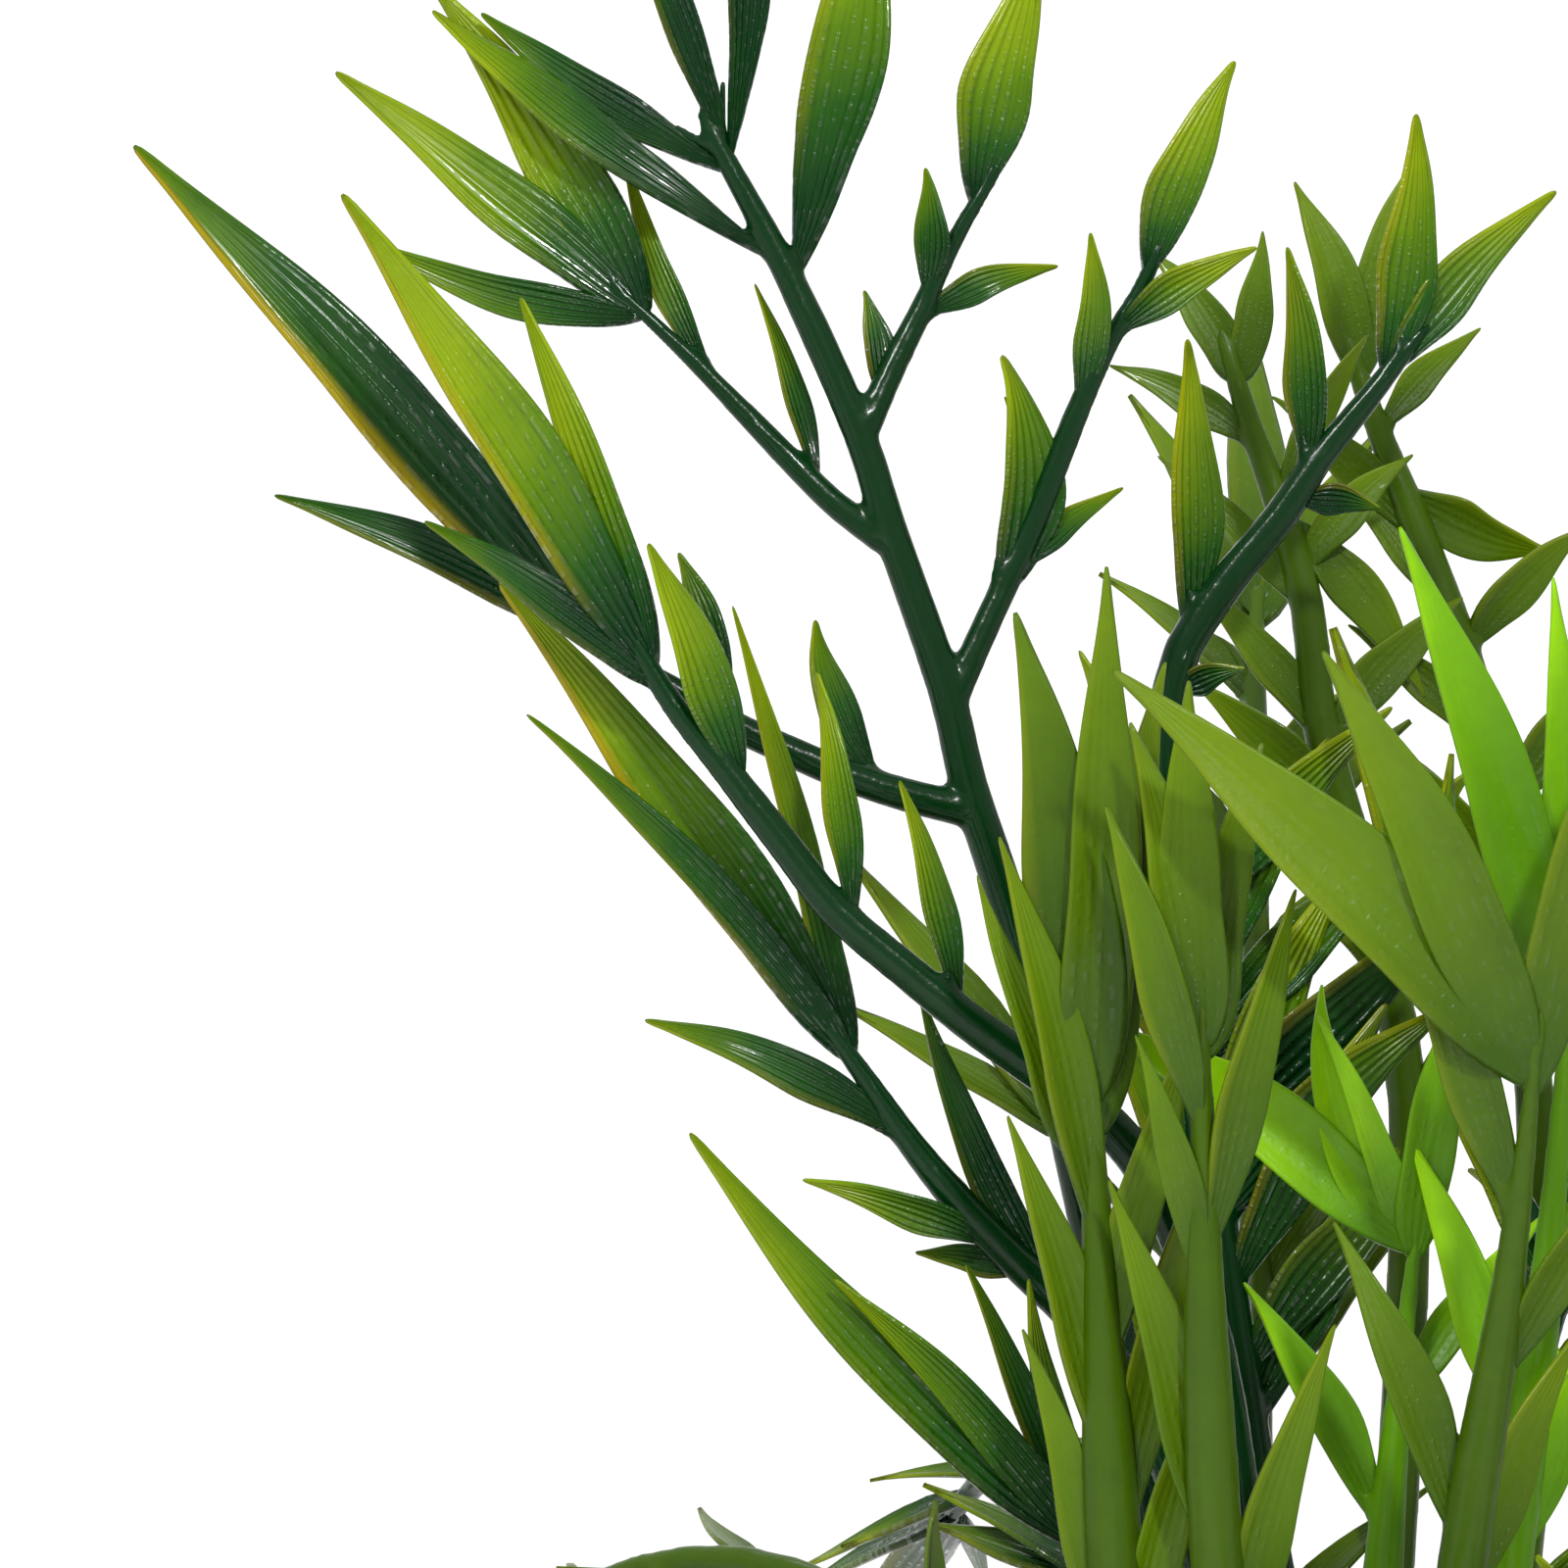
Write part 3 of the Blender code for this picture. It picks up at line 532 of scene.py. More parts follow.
FOOT_Z = 27  # the stems' glued ends, down in their drilled holes
tall_spray = [
    {
        "line": [
            (-4, 2, FOOT_Z), (-4.6, 2, 44), (-6.2, 1.5, 57), (-8.6, 1, 69), (-11.2, 0.5, 80.5),
            (-13.8, 0, 89.5), (-15.6, 0, 95), (-16.8, 0, 100), (-19.6, 0, 108), (-21.2, 0, 113),
            (-24.8, 0, 121), (-28.6, 0, 128),
        ],
        "radii": (1.3, 0.8),
        "blades": [
            (127.6, (-27, 0.5, 147), 2.2, 0.6, 0.3, 0.1),
            (127.6, (-34, -0.5, 142), 2.0, 0.5, 0.3, 0.1),
            (127.2, (-40.5, 0.5, 134.4), 2.2, -0.4, 0.3, 0.2),
            (121.6, (-43, 1, 134.6), 2.7, -0.6, 0.45, 0.55, 0.1),
            (120.6, (-20.4, 0.5, 142), 4.3, 0.8, 0.32, 0.6, 0.2),
        ],
    },
    {
        "line": [
            (-19.9, 0, 107.4), (-22.5, 0.6, 109.4), (-25, 1, 111.9), (-28, 1, 115),
            (-30.6, 1, 117.6), (-33.2, 1, 120),
        ],
        "radii": (0.8, 0.5),
        "blades": [
            (110.1, (-26.5, 2, 120.7), 1.4, 0.4, 0, 0.4),
            (115.6, (-33.2, 2.4, 127.2), 1.6, -0.5, 0, 0.7),
            (119.8, (-46.4, 0, 122.8), 2.1, -0.9, 0, 0.5),
            (119.8, (-48, 1.4, 131.5), 3.2, 0.2, 0, 0.75),
            (119.8, (-43, 1.6, 136), 3.7, 0.6, 0, 0.8),
        ],
    },
    {
        "line": [
            (-15.4, 0, 93.6), (-19, -0.6, 94.5), (-22, -1, 95.5), (-25, -1.2, 96.8),
            (-27.6, -1.4, 98), (-30.6, -1.6, 99.8), (-33.6, -1.8, 101.6), (-36.6, -2, 104),
        ],
        "radii": (0.95, 0.7),
        "blades": [
            (94.9, (-23.4, 0.4, 103.4), 2.3, -0.6, 0, 0.35),
            (98.4, (-30.4, -0.4, 106.8), 2.3, 0.5, 0, 0.3),
            (103.8, (-58, -2.4, 127.4), 4.1, 0.5, 0, 0.2, 0.9),
            (103.4, (-50.8, -3.2, 109.6), 2.3, 0.7, 0, 0.0),
        ],
    },
    {
        "line": [
            (-20.8, 0, 113.2), (-19.5, 0.6, 116.2), (-18, 1, 119.2), (-16.8, 1, 121.8),
            (-15.5, 1, 124.2), (-14.4, 1, 126),
        ],
        "radii": (0.8, 0.55),
        "blades": [
            (114.8, (-20.9, 1.4, 120.3), 1.7, 0.3, 0, 0.2),
            (119.8, (-17.8, 0.6, 126.5), 1.9, 0.4, 0, 0.3),
            (118.8, (-10.9, 2.4, 121.6), 1.7, -0.5, 0, 0.45),
            (125.6, (-11.8, 1, 138), 3.8, -0.4, 0.16, 0.75),
        ],
    },
    {
        "line": [
            (-16.3, 0, 99.4), (-15, 0.4, 102.4), (-13.6, 0.8, 105.4), (-12.3, 1, 108.2),
            (-11, 1, 111.5), (-9.8, 1, 114.5), (-8.3, 1, 117.7), (-6.8, 1, 120.2), (-5.8, 1, 122.5),
        ],
        "radii": (0.8, 0.6),
        "blades": [
            (104.2, (-13.9, 0, 116.9), 3.5, 1.7, 0, 0.45),
            (109.4, (-13.7, 2, 114.9), 0.9, 0.2, 0, 0.4),
            (114, (-9.4, -0.6, 123.1), 1.9, 0.5, 0, 0.6),
            (118, (-0.8, 0.6, 122.4), 2.1, -0.5, 0, 0.75),
            (105.6, (-7.6, 1.6, 110.2), 1.6, -0.3, 0, 0.4),
            (122, (-1.9, 1, 132), 2.9, -0.4, 0.16, 0.75),
        ],
    },
]
mould_sprig(
    "tall_spray",
    tall_spray,
    dark_plastic,
    [
        "tall_stem",
        "tall_stem_branch_left",
        "tall_stem_branch_low",
        "tall_stem_branch_right",
        "tall_stem_branch_mid",
    ],
    seed=1,
)


# The three dark sprigs in front on the left: long stems with a frond of three blades at the end
# and smaller blades in turn on the way up. Each is one moulding.

mould_sprig(
    "front_left_spray",
    [
        {
            "line": [
                (-1.6, -12, FOOT_Z), (-1.8, -12, 44), (-2.4, -11.6, 57), (-3.8, -11, 67),
                (-6, -10.5, 74), (-8.8, -10, 78), (-12.4, -10, 80.8), (-15.8, -10, 83.2),
                (-19, -10, 85.8), (-22.4, -10, 88.7), (-25, -10, 92), (-27.8, -10, 95.6),
                (-30.4, -10, 98.8), (-32.4, -10, 102),
            ],
            "radii": (1.3, 0.75),
            "blades": [
                (101.6, (-46.9, -11, 124.2), 3.7, 0.4, 0, 0.85, 0.5),
                (101.6, (-38.1, -9.6, 119.2), 2.4, 0.3, 0, 0.8),
                (101, (-42.8, -10.8, 108), 2.1, 0.4, 0, 0.15),
                (94.6, (-31.7, -11.4, 106.9), 2.8, 0.3, 0, 0.7),
                (88, (-23.4, -9, 100.6), 1.9, 0.5, 0, 0.65),
                (83.6, (-19.3, -11, 95.2), 1.7, 0.4, 0, 0.6),
            ],
        }
    ],
    dark_plastic,
    ["front_left_sprig"],
    seed=2,
)
mould_sprig(
    "low_left_spray",
    [
        {
            "line": [
                (-2.4, -6, FOOT_Z), (-2.8, -6, 44), (-3.8, -6, 55), (-6.6, -6, 63), (-10.2, -6, 68),
                (-13, -6, 70.7), (-16, -6, 73.8), (-18.5, -6, 76.8), (-20.6, -6, 79.8), (-22.6, -6, 82.6),
            ],
            "radii": (1.3, 0.7),
            "blades": [
                (82.2, (-39.3, -6.6, 105.2), 3.9, 0.5, 0, 0.6, 0.8),
                (82.2, (-37.9, -7.4, 98.5), 1.9, 0.9, 0, 0.25),
                (82.2, (-27.6, -5.2, 104), 1.6, 0.3, 0, 0.7),
                (77.2, (-32, -6.6, 83.2), 2.3, 0.6, 0, 0.25),
                (71.8, (-24.1, -7, 75.2), 2.0, 0.4, 0, 0.6),
                (70.4, (-18.4, -4.4, 71.4), 1.6, 0.2, 0, 0.3),
                (72, (-19.8, -4, 77.4), 1.6, 0.2, 0, 0.8),
                (68.6, (-18.2, -5, 84.6), 2.2, -0.6, 0, 0.1),
            ],
        }
    ],
    dark_plastic,
    ["low_left_sprig"],
    seed=3,
)
mould_sprig(
    "lowest_left_spray",
    [
        {
            "line": [
                (-5.6, -8.6, FOOT_Z), (-6, -8.6, 43), (-7.6, -9, 50), (-9.4, -9.6, 55),
                (-11, -10, 58.8),
            ],
            "radii": (1.2, 0.8),
            "blades": [
                (58.4, (-29.7, -11, 77.8), 3.1, -0.7, 0, 0.5),
                (58.4, (-22.6, -11.6, 70.6), 2.2, 0.7, 0, 0.45),
                (57.6, (-16, -9.2, 71.2), 1.7, 0.3, 0, 0.2),
                (54, (-12.8, -8.2, 70.4), 2.1, -0.4, 0, 0.4),
            ],
        }
    ],
    dark_plastic,
    ["lowest_left_sprig"],
    seed=4,
)


# The olive and lime sprigs in front on the right: stiff upright stems with a few broad blades.
# Their plastic is paler right through and hardly changes along a blade.

BROAD_SPRIGS = {
    "front_olive_sprig": (
        olive_plastic,
        [(-7.8, -17, FOOT_Z), (-8.2, -17, 44), (-9, -17, 58), (-9.6, -17, 70), (-10.2, -17, 81)],
        (1.4, 1.5),
        [
            (78, (-15.6, -16, 90.6), 1.8, -0.4, 0),
            (80.6, (-13.8, -17, 103.4), 4.4, 0.7, 0, 0.1),
            (80.6, (-9.4, -18, 105.6), 3.6, 0.2, 0),
            (79, (-6.4, -16, 101), 3.2, -0.5, 0),
            (66, (-4.8, -17.4, 84), 2.6, -0.4, 0),
        ],
    ),
    "front_centre_sprig": (
        olive_plastic,
        [(-2.4, -18, FOOT_Z), (-3, -18.6, 44), (-4.2, -20, 58), (-4.8, -21, 70), (-5, -21.4, 84)],
        (1.4, 1.3),
        [
            (83.4, (-8.4, -21, 98), 3.0, 0.5, 0),
            (83.4, (-5.6, -21.4, 100), 3.4, -0.3, 0),
            (83, (-2, -20.4, 97), 2.8, -0.5, 0),
            (72, (-0.4, -20.6, 90), 2.6, -0.4, 0),
            (70, (-8.2, -21.6, 83), 2.0, 0.5, 0),
        ],
    ),
    "front_right_sprig": (
        olive_plastic,
        [(6, -17, FOOT_Z), (6.4, -18, 44), (7.6, -21, 58), (9.4, -24, 71), (10.6, -26, 83)],
        (1.4, 1.1),
        [
            (82, (-9.6, -26.6, 100.4), 4.9, 0.9, 0, 0.8),
            (82, (0.3, -27.4, 101.3), 4.1, 0.6, 0, 0.6),
            (81.4, (17, -27, 103), 3.6, -0.8, 0),
            (66, (17.4, -24, 80), 2.6, -0.6, 0),
        ],
    ),
    "lime_upright_sprig": (
        lime_plastic,
        [(9, -11, FOOT_Z), (9.4, -12, 44), (10.6, -15, 58), (12, -18, 72), (12.8, -19.4, 85)],
        (1.3, 1.0),
        [
            # Painted shade: this broad blade gets a low tone of 0.25 so its colour is darker, offsetting
            # the stronger light that falls on it.
            (84, (4.5, -21, 107.4), 3.8, 0.6, 0, 0.25),
            (84, (12, -20, 105), 2.8, 0.4, 0),
            (83, (20.4, -19, 102), 3.2, -0.6, 0),
            (70, (20, -16.4, 84), 2.4, -0.5, 0),
        ],
    ),
    "lime_low_sprig": (
        lime_plastic,
        [(3.4, -11, FOOT_Z), (3.6, -11.6, 44), (4.4, -13, 56), (5.2, -14, 66), (6, -14.6, 74)],
        (1.3, 1.0),
        [
            # Painted light: this blade gets the full tone of 1 so its colour is lighter, standing in for
            # the light that the blades in front keep off it.
            (73.4, (-9.6, -14, 83.4), 3.9, 0.8, 0, 1),
            (73.4, (1, -15.4, 83.8), 1.6, 0.3, 0, 0.9),
            (73.4, (1.4, -13.4, 85.2), 2.7, -1.4, 0, 0.9),
            (73, (8.4, -15, 86), 2.6, -0.4, 0),
            (64, (12.6, -12.6, 74), 2.2, -0.5, 0),
        ],
    ),
    "back_right_dark_sprig": (
        dark_plastic,
        [
            (2.4, 7, FOOT_Z), (2, 7.4, 44), (-0.6, 8, 60), (-3, 8, 76), (-5, 8, 90), (-4.8, 8, 100),
            (-2.4, 8, 104.8), (0.8, 8, 108.8), (2.8, 8, 111.8), (5.4, 8, 115), (7.4, 8, 117.6),
        ],
        (1.3, 0.8),
        [
            (102, (-4, 7.2, 118.2), 2.9, 0.5, 0, 0.7),
            (111, (1.2, 7.4, 123), 2.4, 0.4, 0, 0.5),
            (109.8, (6.2, 9, 109.4), 1.7, -0.3, 0, 0.1),
            (99.6, (-1, 7, 101), 1.7, -0.3, 0, 0.1),
            (90, (-9.6, 8.6, 102), 2.2, 0.4, 0, 0.6),
            (117.2, (8, 8, 130), 3.2, 0.5, 0.12, 0.6),
            (117.2, (15.4, 8.6, 126), 2.8, -0.6, 0.12, 0.6),
        ],
    ),
    "back_olive_sprig": (
        olive_plastic,
        [
            (6.6, 14, FOOT_Z), (6.8, 14.6, 44), (8, 16, 62), (8.4, 17, 78), (6.2, 17, 89), (3.8, 17, 97.6),
            (3, 17, 104.4), (1.6, 17, 109.6), (0, 17, 114), (-1.2, 17, 118),
        ],
        (1.3, 0.8),
        [
            (97, (-3.4, 16, 106), 2.4, 0.5, 0),
            (109.4, (9.4, 18, 99.6), 2.9, -0.5, 0),
            (104, (-5, 17.6, 112.6), 1.9, 0.4, 0),
            (110, (6.2, 16.4, 119), 2.0, -0.5, 0),
            (117.6, (0.6, 17, 124.6), 2.1, 0.3, 0),
            (117.6, (-5.4, 17.6, 123.6), 2.3, 0.5, 0),
            (88, (12, 16, 96), 2.4, -0.5, 0),
        ],
    ),
    "back_far_sprig": (
        olive_plastic,
        [
            (13, 15, FOOT_Z), (13.4, 16, 44), (15.4, 19, 62), (15.6, 21, 78), (14, 21, 90),
            (12.4, 21, 100), (9.6, 21, 108), (7.2, 21, 114), (5.6, 21, 118.6),
        ],
        (1.3, 0.8),
        [
            (111, (16.6, 22, 107.6), 3.2, 0.6, 0),
            (114, (12.6, 20, 119.6), 2.0, -0.4, 0),
            (104, (3.8, 21.6, 113), 2.2, 0.5, 0),
            (118, (2.6, 21, 127.6), 2.8, 0.4, 0),
            (118, (9.2, 21.4, 129), 2.4, -0.5, 0),
            (97, (5.4, 20, 103.6), 2.2, 0.4, 0),
        ],
    ),
}
THIN_BLADES = {
    "front_olive_sprig": [
        (57, (-3.2, -15.6, 79.5), 3.0, -0.6, 0),
        (61, (-14.2, -18.2, 79), 2.8, 0.6, 0),
        (50, (-13.4, -16, 68.5), 2.6, 0.6, 0),
        (49, (-3.6, -18, 68), 2.6, -0.6, 0),
        (72, (-14.6, -18, 92.5), 2.8, 0.5, 0),
    ],
    "front_centre_sprig": [
        (56, (-9.4, -20, 76), 3.0, 0.6, 0),
        (51, (1.6, -19.4, 69), 2.8, -0.6, 0),
        (78, (-9.6, -21, 94), 2.6, 0.5, 0),
    ],
    "front_right_sprig": [
        (74, (3.4, -25, 91), 3.0, 0.6, 0),
        (58, (1.4, -20, 74), 2.8, 0.5, 0),
        (54, (13.6, -19, 69), 2.8, -0.5, 0),
    ],
    "lime_upright_sprig": [
        (62, (5.4, -15, 78), 2.8, 0.6, 0),
        (56, (16.4, -14, 70), 2.6, -0.5, 0),
    ],
    "lime_low_sprig": [(58, (-2.4, -12.4, 70.5), 2.6, 0.6, 0)],
    "back_right_dark_sprig": [
        (82, (3.4, 7, 97.4), 3.0, -0.6, 0),
        (75, (4.6, 9, 91), 3.2, -0.6, 0),
        (68, (6.4, 7, 83.6), 3.2, -0.6, 0),
        (61, (7.2, 9, 76), 3.2, -0.6, 0),
        (70, (-9.4, 7.4, 84.6), 2.8, 0.6, 0),
        (78, (-11.4, 9, 92), 2.8, 0.6, 0),
        (56, (-8.4, 8, 70), 2.8, 0.5, 0),
        (72, (9.6, 6, 83.5), 3.6, -0.9, 0),
        (64, (9.4, 10, 76), 3.6, -0.9, 0),
        (80, (8.8, 10, 91.5), 3.4, -0.9, 0),
        (87, (6.6, 6, 99), 3.0, -0.8, 0),
        (76, (10.4, 8, 88.6), 4.0, -0.6, 0, 0.1),
    ],
    "back_olive_sprig": [
        (93, (-3.4, 16.4, 100.6), 2.6, 0.5, 0),
        (97, (11.4, 17.6, 105), 2.8, -0.5, 0),
        (84, (0.6, 16, 93.4), 2.8, 0.6, 0),
        (106, (8.6, 16.2, 112.6), 2.4, -0.5, 0),
        (113, (-7.6, 17, 117.4), 2.2, 0.5, 0),
        (76, (15.4, 18, 86), 3.0, -0.6, 0),
    ],
    "back_far_sprig": [
        (84, (22.6, 21, 92.6), 3.0, -0.6, 0),
        (88, (7.4, 20, 97.4), 2.8, 0.6, 0),
        (93, (21.4, 22, 101.6), 2.8, -0.6, 0),
        (102, (18.6, 20.4, 109), 2.6, -0.5, 0),
        (108, (1.4, 21.8, 116), 2.4, 0.5, 0),
    ],
}  # finer blades that only the look has
for seed, (node, (finish, line, radii, blades)) in enumerate(BROAD_SPRIGS.items(), 10):
    stem = {"line": line, "radii": radii, "blades": blades, "more": THIN_BLADES[node]}
    master = fine_blade if finish is dark_plastic else broad_blade
    mould_sprig(node.replace("sprig", "spray"), [stem], finish, [node], master, seed)


# The rest of the bush: thirteen more mouldings round the others, each stem leaning out over the
# driftwood, with side blades in turn, a frond of three at its end, and one side branch on most.

GROWN = {
    "right_low_stem": ((19, -4), -12, 76, 66, dark_plastic, 1, "stands"),
    "right_mid_stem": ((15, 0), 0, 52, 78, lime_plastic, 1, "stands"),
    "right_high_stem": ((9.5, 3), 8, 30, 84, dark_plastic, 1, "stands"),
    "right_back_stem": ((20, 5), 26, 58, 76, olive_plastic, 1, "arches"),
    "right_front_stem": ((15, -13), -50, 62, 62, dark_plastic, 1, "arches"),
    "back_right_low_stem": ((18, 13), 50, 72, 58, dark_plastic, 1, "arches"),
    "back_tall_stem": ((0, 14), 86, 42, 74, olive_plastic, 1, "arches"),
    "back_left_stem": ((-6, 10), 104, 112, 46, dark_plastic, 0, "arches"),
    "back_low_stem": ((-13, 7), 142, 128, 44, olive_plastic, 0, "arches"),
    "left_low_stem": ((-16, -2), 190, 128, 44, dark_plastic, 0, "arches"),
    "front_left_low_stem": ((-13, -10), 226, 124, 44, dark_plastic, 0, "arches"),
    "front_low_stem": ((1, -17), 268, 110, 42, lime_plastic, 0, "arches"),
    "front_right_low_stem": ((12, -16), 304, 104, 46, olive_plastic, 0, "arches"),
}  # each stem's foot, heading, lean, length, plastic, number of branches, and how it holds itself
WOOD_TOP = 40
GROWN_STEPS = 4
FORK_SHARE = 0.36  # how far up the stem its branch leaves it
FORK_ANGLE = 46
FORK_LENGTH = 17
FORK_CLEAR = (-18, 12)  # no side blade from this far below a fork to this far above it
LEAF_STEP = 13
LEAF_ANGLE = 38
LEAF_LENGTH = 15
LEAF_WIDTH = 2.2
LEAF_HEIGHTS = (2, 145)  # the finer leaves' tips stay between these heights
FROND = [(0, 24, 3.4), (24, 18, 2.3), (-26, 16, 2.2)]  # each end blade's turn, length and width


def turned(along, degrees, face):
    """A direction swung to one side of a stem, within the sprig's face."""
    square = (face - along * face.dot(along)).normalized()
    return Matrix.Rotation(math.radians(degrees), 3, square) @ along


def grown_blades(line, start, face, rng, size, forks):
    """Side blades in turn on either side of a stem, clear of its forks, and the frond on its end."""
    total = sum((b - a).length for a, b in zip(line, line[1:]))
    blades = []
    distance, side = start, 1
    while distance < total - LEAF_STEP / 2:
        foot, along = at_distance(line, distance)
        way = turned(along, side * (LEAF_ANGLE + rng.uniform(-6, 6)), face)
        tip = foot + way * LEAF_LENGTH * size * rng.uniform(0.8, 1.1) + face * rng.uniform(-1.5, 1.5)
        crowded = [f for f in forks if side > 0 and FORK_CLEAR[0] < distance - f < FORK_CLEAR[1]]
        if not crowded:
            blades.append((foot, tip, LEAF_WIDTH * size, side * 0.5, 0))
        distance += LEAF_STEP
        side = -side
    for i, (turn, length, width) in enumerate(FROND):
        end, along = at_distance(line, total - 0.5 - 0.4 * i)
        way = turned(along, turn + rng.uniform(-4, 4), face)
        tip = end + way * length * size + face * rng.uniform(-1, 1)
        blades.append((end, tip, width * size, 0.4 * math.copysign(1, turn), 0))
    return blades


for seed, (name, values) in enumerate(GROWN.items()):
    foot, heading, lean, length, finish, forks, spread = values
    rng = random.Random(seed)
    out = Vector((math.cos(math.radians(heading)), math.sin(math.radians(heading)), 0))
    face = Vector((out.y, -out.x, 0)) if spread == "stands" else Vector((0, 0, 1)) - out
    line = [Vector((*foot, FOOT_Z)), Vector((*foot, WOOD_TOP + 2))]
    for i in range(1, GROWN_STEPS + 1):
        angle = math.radians(lean) * (i / GROWN_STEPS) ** 0.8
        way = out * math.sin(angle) + Vector((0, 0, math.cos(angle)))
        line.append(line[-1] + way * length / GROWN_STEPS)
    bare = WOOD_TOP - FOOT_Z
    starts = [bare + length * FORK_SHARE] * forks
    blades = grown_blades(line, bare + 15, face, rng, 1.0, starts)
    thin = random.Random(seed + 100)
    more = []
    distance, side = bare + 9, -1
    total = sum((b - a).length for a, b in zip(line, line[1:]))
    while distance < total - 6:
        leaf, along = at_distance(line, distance)
        way = turned(along, side * (LEAF_ANGLE + thin.uniform(-4, 8)), face)
        tip = leaf + way * LEAF_LENGTH * thin.uniform(0.6, 0.95) + face * thin.uniform(-1.5, 1.5)
        tip.z = min(max(tip.z, LEAF_HEIGHTS[0]), LEAF_HEIGHTS[1])
        more.append((leaf, tip, LEAF_WIDTH * thin.uniform(0.8, 1.1), side * 0.5, 0))
        distance += LEAF_STEP / 2
        side = -side
    stems = [{"line": line, "radii": (1.2, 0.75), "blades": blades, "face": face, "more": more}]
    nodes = [name]
    for start in starts:
        fork, along = at_distance(line, start)
        middle = fork + turned(along, FORK_ANGLE, face) * FORK_LENGTH * 0.55
        limb = [fork, middle, middle + turned(along, FORK_ANGLE * 0.8, face) * FORK_LENGTH * 0.45]
        blades = grown_blades(limb, FORK_LENGTH, face, rng, 0.8, [])
        stems.append({"line": limb, "radii": (0.75, 0.5), "blades": blades, "face": face})
        nodes.append(f"{name}_branch")
    piece = name.replace("stem", "grown_spray")
    mould_sprig(piece, stems, finish, nodes, plain_blade, seed + 30)


for master in (fine_blade, broad_blade, plain_blade):
    bpy.data.objects.remove(master)


# The driftwood: one weathered piece of root wood with its arms, sawn flat underneath so that it
# stands. It is bare, matte and grey-brown, with the grain worn proud and old checks along it.

LIMBS = [
    [(-88, 8, 12), (-80, 7, 13), (-60, 4, 16), (-38, -3, 17), (-10, -2, 18), (18, 2, 18), (42, 4, 17),
     (60, -3, 17), (76, -10, 20), (86, -15, 23)],
    [(50, 2, 20), (68, 12, 36), (82, 16, 52), (90, 24, 66)],
    [(-32, -8, 25), (-37, -19, 34), (-40, -26, 42)],
    [(-46, -6, 16), (-60, -24, 18), (-74, -36, 10), (-87, -43, 3.5)],
    [(22, 10, 17), (34, 28, 17), (48, 40, 9), (62, 48, 3.5)],
]  # the centre lines of the trunk and its arms
LIMB_SIZES = [19, 8, 7, 8, 8]
WOOD_VOXEL = 0.75
GRAIN_DEPTH = 0.5
CHECK_DEPTH = 1.5
HOLLOW_DEPTH = 1.5
DEEPEST = 2.4

wood_nodes = [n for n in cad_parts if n.startswith("driftwood")]
copies = []
for node in wood_nodes:
    copy = bpy.data.objects.new(node + "_copy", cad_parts[node].data.copy())
    bpy.context.scene.collection.objects.link(copy)
    copies.append(copy)
activate(copies[0])
for copy in copies:
    copy.select_set(True)
bpy.ops.object.join()
driftwood = bpy.context.object
driftwood.name = driftwood.data.name = "driftwood"
bpy.ops.object.mode_set(mode="EDIT")
bpy.ops.mesh.select_all(action="SELECT")
bpy.ops.mesh.remove_doubles(threshold=0.00001)
bpy.ops.object.mode_set(mode="OBJECT")
apply_modifier(driftwood, "REMESH", mode="VOXEL", voxel_size=0.0012, adaptivity=0)
apply_modifier(driftwood, "SMOOTH", factor=0.5, iterations=7)
apply_modifier(driftwood, "REMESH", mode="VOXEL", voxel_size=WOOD_VOXEL * MM, adaptivity=0)
apply_modifier(driftwood, "SMOOTH", factor=0.5, iterations=2)

mesh = driftwood.data
count = len(mesh.vertices)
spots = np.empty(count * 3)
mesh.vertices.foreach_get("co", spots)
spots = spots.reshape(-1, 3) / MM
off_limb = np.full(count, 1e9)
grain = np.zeros((count, 3))
for n, limb in enumerate(LIMBS):
    whole = Vector(limb[-1]) - Vector(limb[0])
    across = whole.cross(Vector((0, 0, 1))).normalized()
    axes = np.array([across, across.cross(whole.normalized())]).T
    gone = n * 300
    for a, b in zip(limb, limb[1:]):
        a, b = np.array(a), np.array(b)
        way = b - a
        span = np.linalg.norm(way)
        t = np.clip((spots - a) @ way / span**2, 0, 1)
        offset = spots - a - t[:, None] * way
        off = np.linalg.norm(offset, axis=1) / LIMB_SIZES[n]
        nearer = off < off_limb
        off_limb[nearer] = off[nearer]
        grain[nearer, 0] = (gone + t * span)[nearer]
        grain[nearer, 1:] = (offset @ axes)[nearer]
        gone += span

deep = np.zeros(count)
for i, (x, y, z) in enumerate(grain):
    wander = noise.noise((x * 0.05, y * 0.09, z * 0.09)) * 3
    fine = noise.noise((x * 0.06, y * 1.1 + wander, z * 1.1 - wander))
    split = 1 - abs(noise.noise((x * 0.022, y * 0.26 + wander * 0.5, z * 0.26 + wander * 0.4))) * 2
    worn = noise.noise((x * 0.045 + 9, y * 0.1, z * 0.1))
    deep[i] = (
        GRAIN_DEPTH * (0.5 - fine)
        + CHECK_DEPTH * max(split - 0.8, 0) / 0.2
        + HOLLOW_DEPTH * max(0.15 - worn, 0)
    )
deep = np.clip(deep, 0, DEEPEST)
deep *= np.clip((spots[:, 2] - 0.6) / 2.5, 0, 1)
normals = np.empty(count * 3)
mesh.vertices.foreach_get("normal", normals)
spots -= normals.reshape(-1, 3) * deep[:, None]
spots[:, 2] = np.where(spots[:, 2] < 0.35, 0, spots[:, 2])
mesh.vertices.foreach_set("co", (spots * MM).ravel())
# How deep each point has sunk, kept for the painted shade that darkens the grain, checks and hollows.
mesh.attributes.new("worn", "FLOAT", "POINT").data.foreach_set("value", deep / DEEPEST)
mesh.attributes.new("grain", "FLOAT_VECTOR", "POINT").data.foreach_set("vector", grain.ravel())
mesh.update()
mesh.materials.clear()


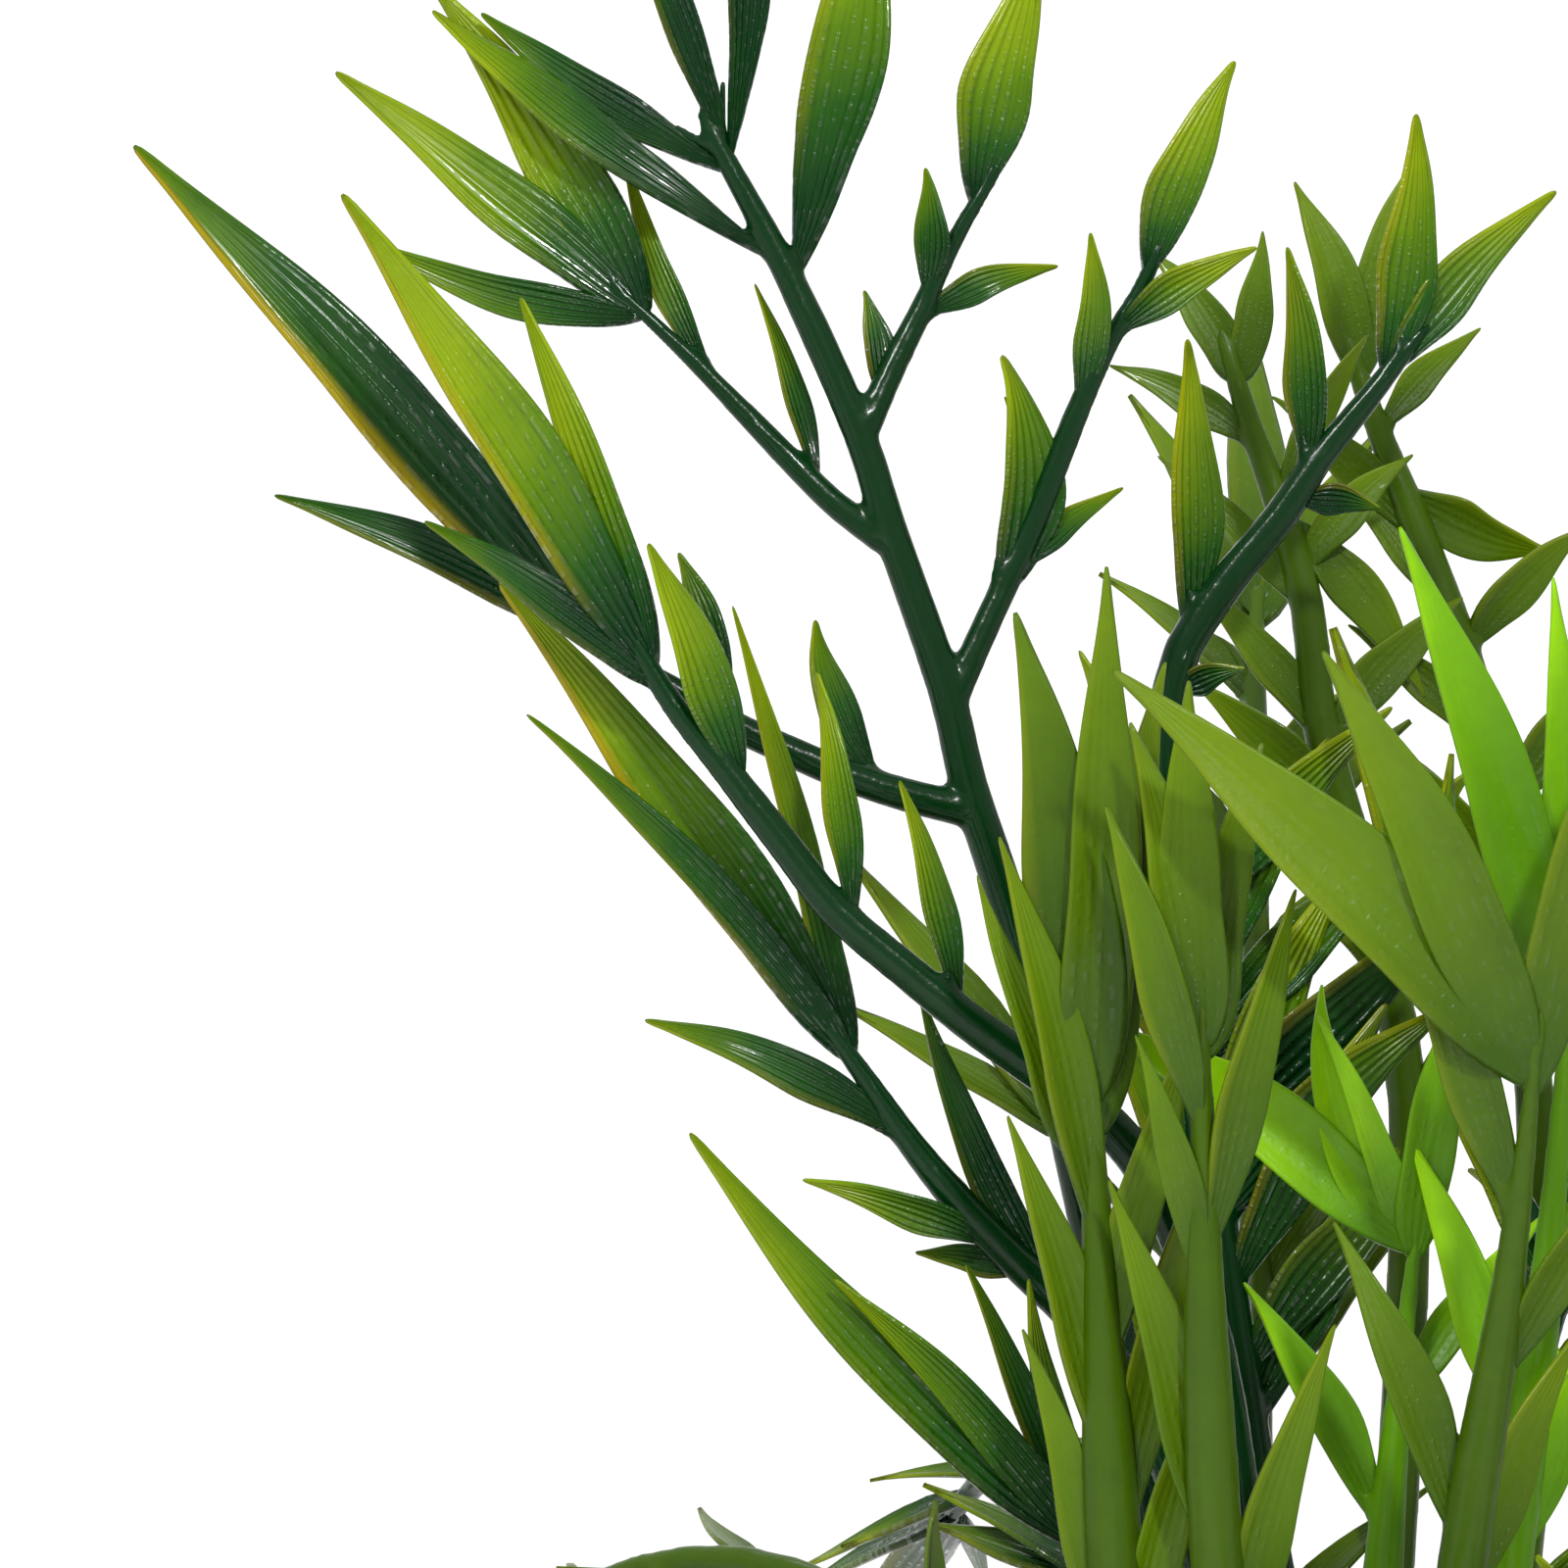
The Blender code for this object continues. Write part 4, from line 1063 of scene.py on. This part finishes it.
def weathered_wood():
    """Bare grey-brown wood, pale where it is rubbed, with painted shade that darkens it the deeper it
    sinks into its checks and hollows.
    """
    paint = Paint("driftwood_look", Specular_IOR_Level=0.25)
    spot = paint.add("TexCoord", None, None, out=3)
    depth = paint.add("Attribute", {"attribute_name": "worn"}, None, out=2)
    run = paint.add("Attribute", {"attribute_name": "grain"}, None, out=1)
    stretched = paint.add("VectorMath", {"operation": "MULTIPLY"}, {0: run, 1: (0.05, 1.6, 1.6)})
    streaks = paint.noise(stretched, 1.0, 5.0, 0.65)
    patches = paint.noise(spot, 45.0, 4.0)
    fibre = paint.add("VectorMath", {"operation": "MULTIPLY"}, {0: run, 1: (0.2, 5.0, 5.0)})
    hairs = paint.noise(fibre, 1.0, 3.0, 0.6)
    tone = streaks * 0.7 + patches * 0.3
    stops = [
        (0.3, green(66, 46, 33)),
        (0.45, green(106, 80, 58)),
        (0.56, green(140, 113, 86)),
        (0.72, green(176, 154, 126)),
    ]
    colour = paint.add("ValToRGB", {"stops": stops}, {0: tone})
    grey = paint.step(paint.noise(spot, 22.0, 3.0), 0.42, 0.66) * 0.6
    colour = paint.mix(grey, colour, (*green(150, 143, 131), 1))
    # Painted shade: the colour darkens towards deep brown the further the surface sinks into its grain,
    # checks and hollows.
    colour = paint.mix(paint.step(depth, 0.18, 0.75) * 0.85, colour, (*green(40, 27, 19), 1))
    height = hairs * 0.5 + streaks * 0.6
    bump = paint.add("Bump", None, {"Strength": 0.6, "Distance": 0.0005, "Height": height})
    return paint.finish(Base_Color=colour, Roughness=0.95 - streaks * 0.25, Normal=bump)


mesh.materials.append(weathered_wood())
activate(driftwood)
bpy.ops.object.shade_smooth()
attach(driftwood, "root")
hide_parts(*wood_nodes)


# The studio: a pale floor that sweeps up into the backdrop all round with no horizon, a light from
# the upper left, a small one from the right that picks out the ribs, one on the backdrop, and a
# bright even surround that softens their shadows.

FLAT_FLOOR = 1.8  # radius of the floor's flat part, in metres
SWEEP = 1.6  # radius of the curve that takes it up
SWEEP_STEPS = 14

bpy.ops.mesh.primitive_circle_add(vertices=96, radius=FLAT_FLOOR, fill_type="NOTHING")
floor = bpy.context.object
floor.name = "floor"
bpy.ops.object.mode_set(mode="EDIT")
bpy.ops.mesh.select_mode(type="EDGE")
bpy.ops.mesh.select_all(action="SELECT")
reach = FLAT_FLOOR
for step in range(1, SWEEP_STEPS + 1):
    turn = math.radians(90 * step / SWEEP_STEPS)
    wider = FLAT_FLOOR + SWEEP * math.sin(turn)
    rise = SWEEP * (math.cos(turn - math.pi / 2 / SWEEP_STEPS) - math.cos(turn))
    bpy.ops.mesh.extrude_region_move(TRANSFORM_OT_translate={"value": (0, 0, rise)})
    bpy.ops.transform.resize(value=(wider / reach, wider / reach, 1), center_override=(0, 0, 0))
    reach = wider
bpy.ops.mesh.select_mode(type="VERT")
select_where(floor, lambda co: co.z < 0.001 and co.xy.length < FLAT_FLOOR + 0.1)
bpy.ops.mesh.edge_face_add()
bpy.ops.mesh.select_all(action="SELECT")
bpy.ops.mesh.normals_make_consistent(inside=True)
bpy.ops.object.mode_set(mode="OBJECT")
bpy.ops.object.shade_smooth()
sweep = Paint("floor", Roughness=0.9, Specular_IOR_Level=0.1)
sweep.shader.inputs["Base Color"].default_value = (0.9, 0.9, 0.9, 1)
floor.data.materials.append(sweep.material)

world = bpy.data.worlds.new("surround")
world.use_nodes = True
world.node_tree.nodes["Background"].inputs[0].default_value = (1, 1, 1, 1)
world.node_tree.nodes["Background"].inputs[1].default_value = 0.68
bpy.context.scene.world = world


def soft_light(name, place, aim, size, power):
    bpy.ops.object.light_add(type="AREA", location=place)
    light = bpy.context.object
    light.name = name
    light.data.shape = "SQUARE"
    light.data.size = size
    light.data.energy = power
    light.rotation_euler = (Vector(aim) - Vector(place)).to_track_quat("-Z", "Y").to_euler()


soft_light("key_light", (-0.4, -0.5, 0.65), (-0.02, 0, 0.09), 0.11, 4)
soft_light("rib_light", (0.16, -0.6, 0.5), (-0.02, 0, 0.09), 0.05, 3.2)
soft_light("backdrop_light", (0, 1.2, 2.0), (0, 3.2, 0.3), 1.0, 32)

bpy.ops.object.camera_add(location=(-0.025, -0.35, 0.095), rotation=(math.pi / 2, 0, 0))
camera = bpy.context.object
camera.data.sensor_width = 36
camera.data.lens = 157.5
camera.data.clip_start = 0.01
bpy.context.scene.camera = camera
bpy.context.scene.view_settings.view_transform = "Standard"
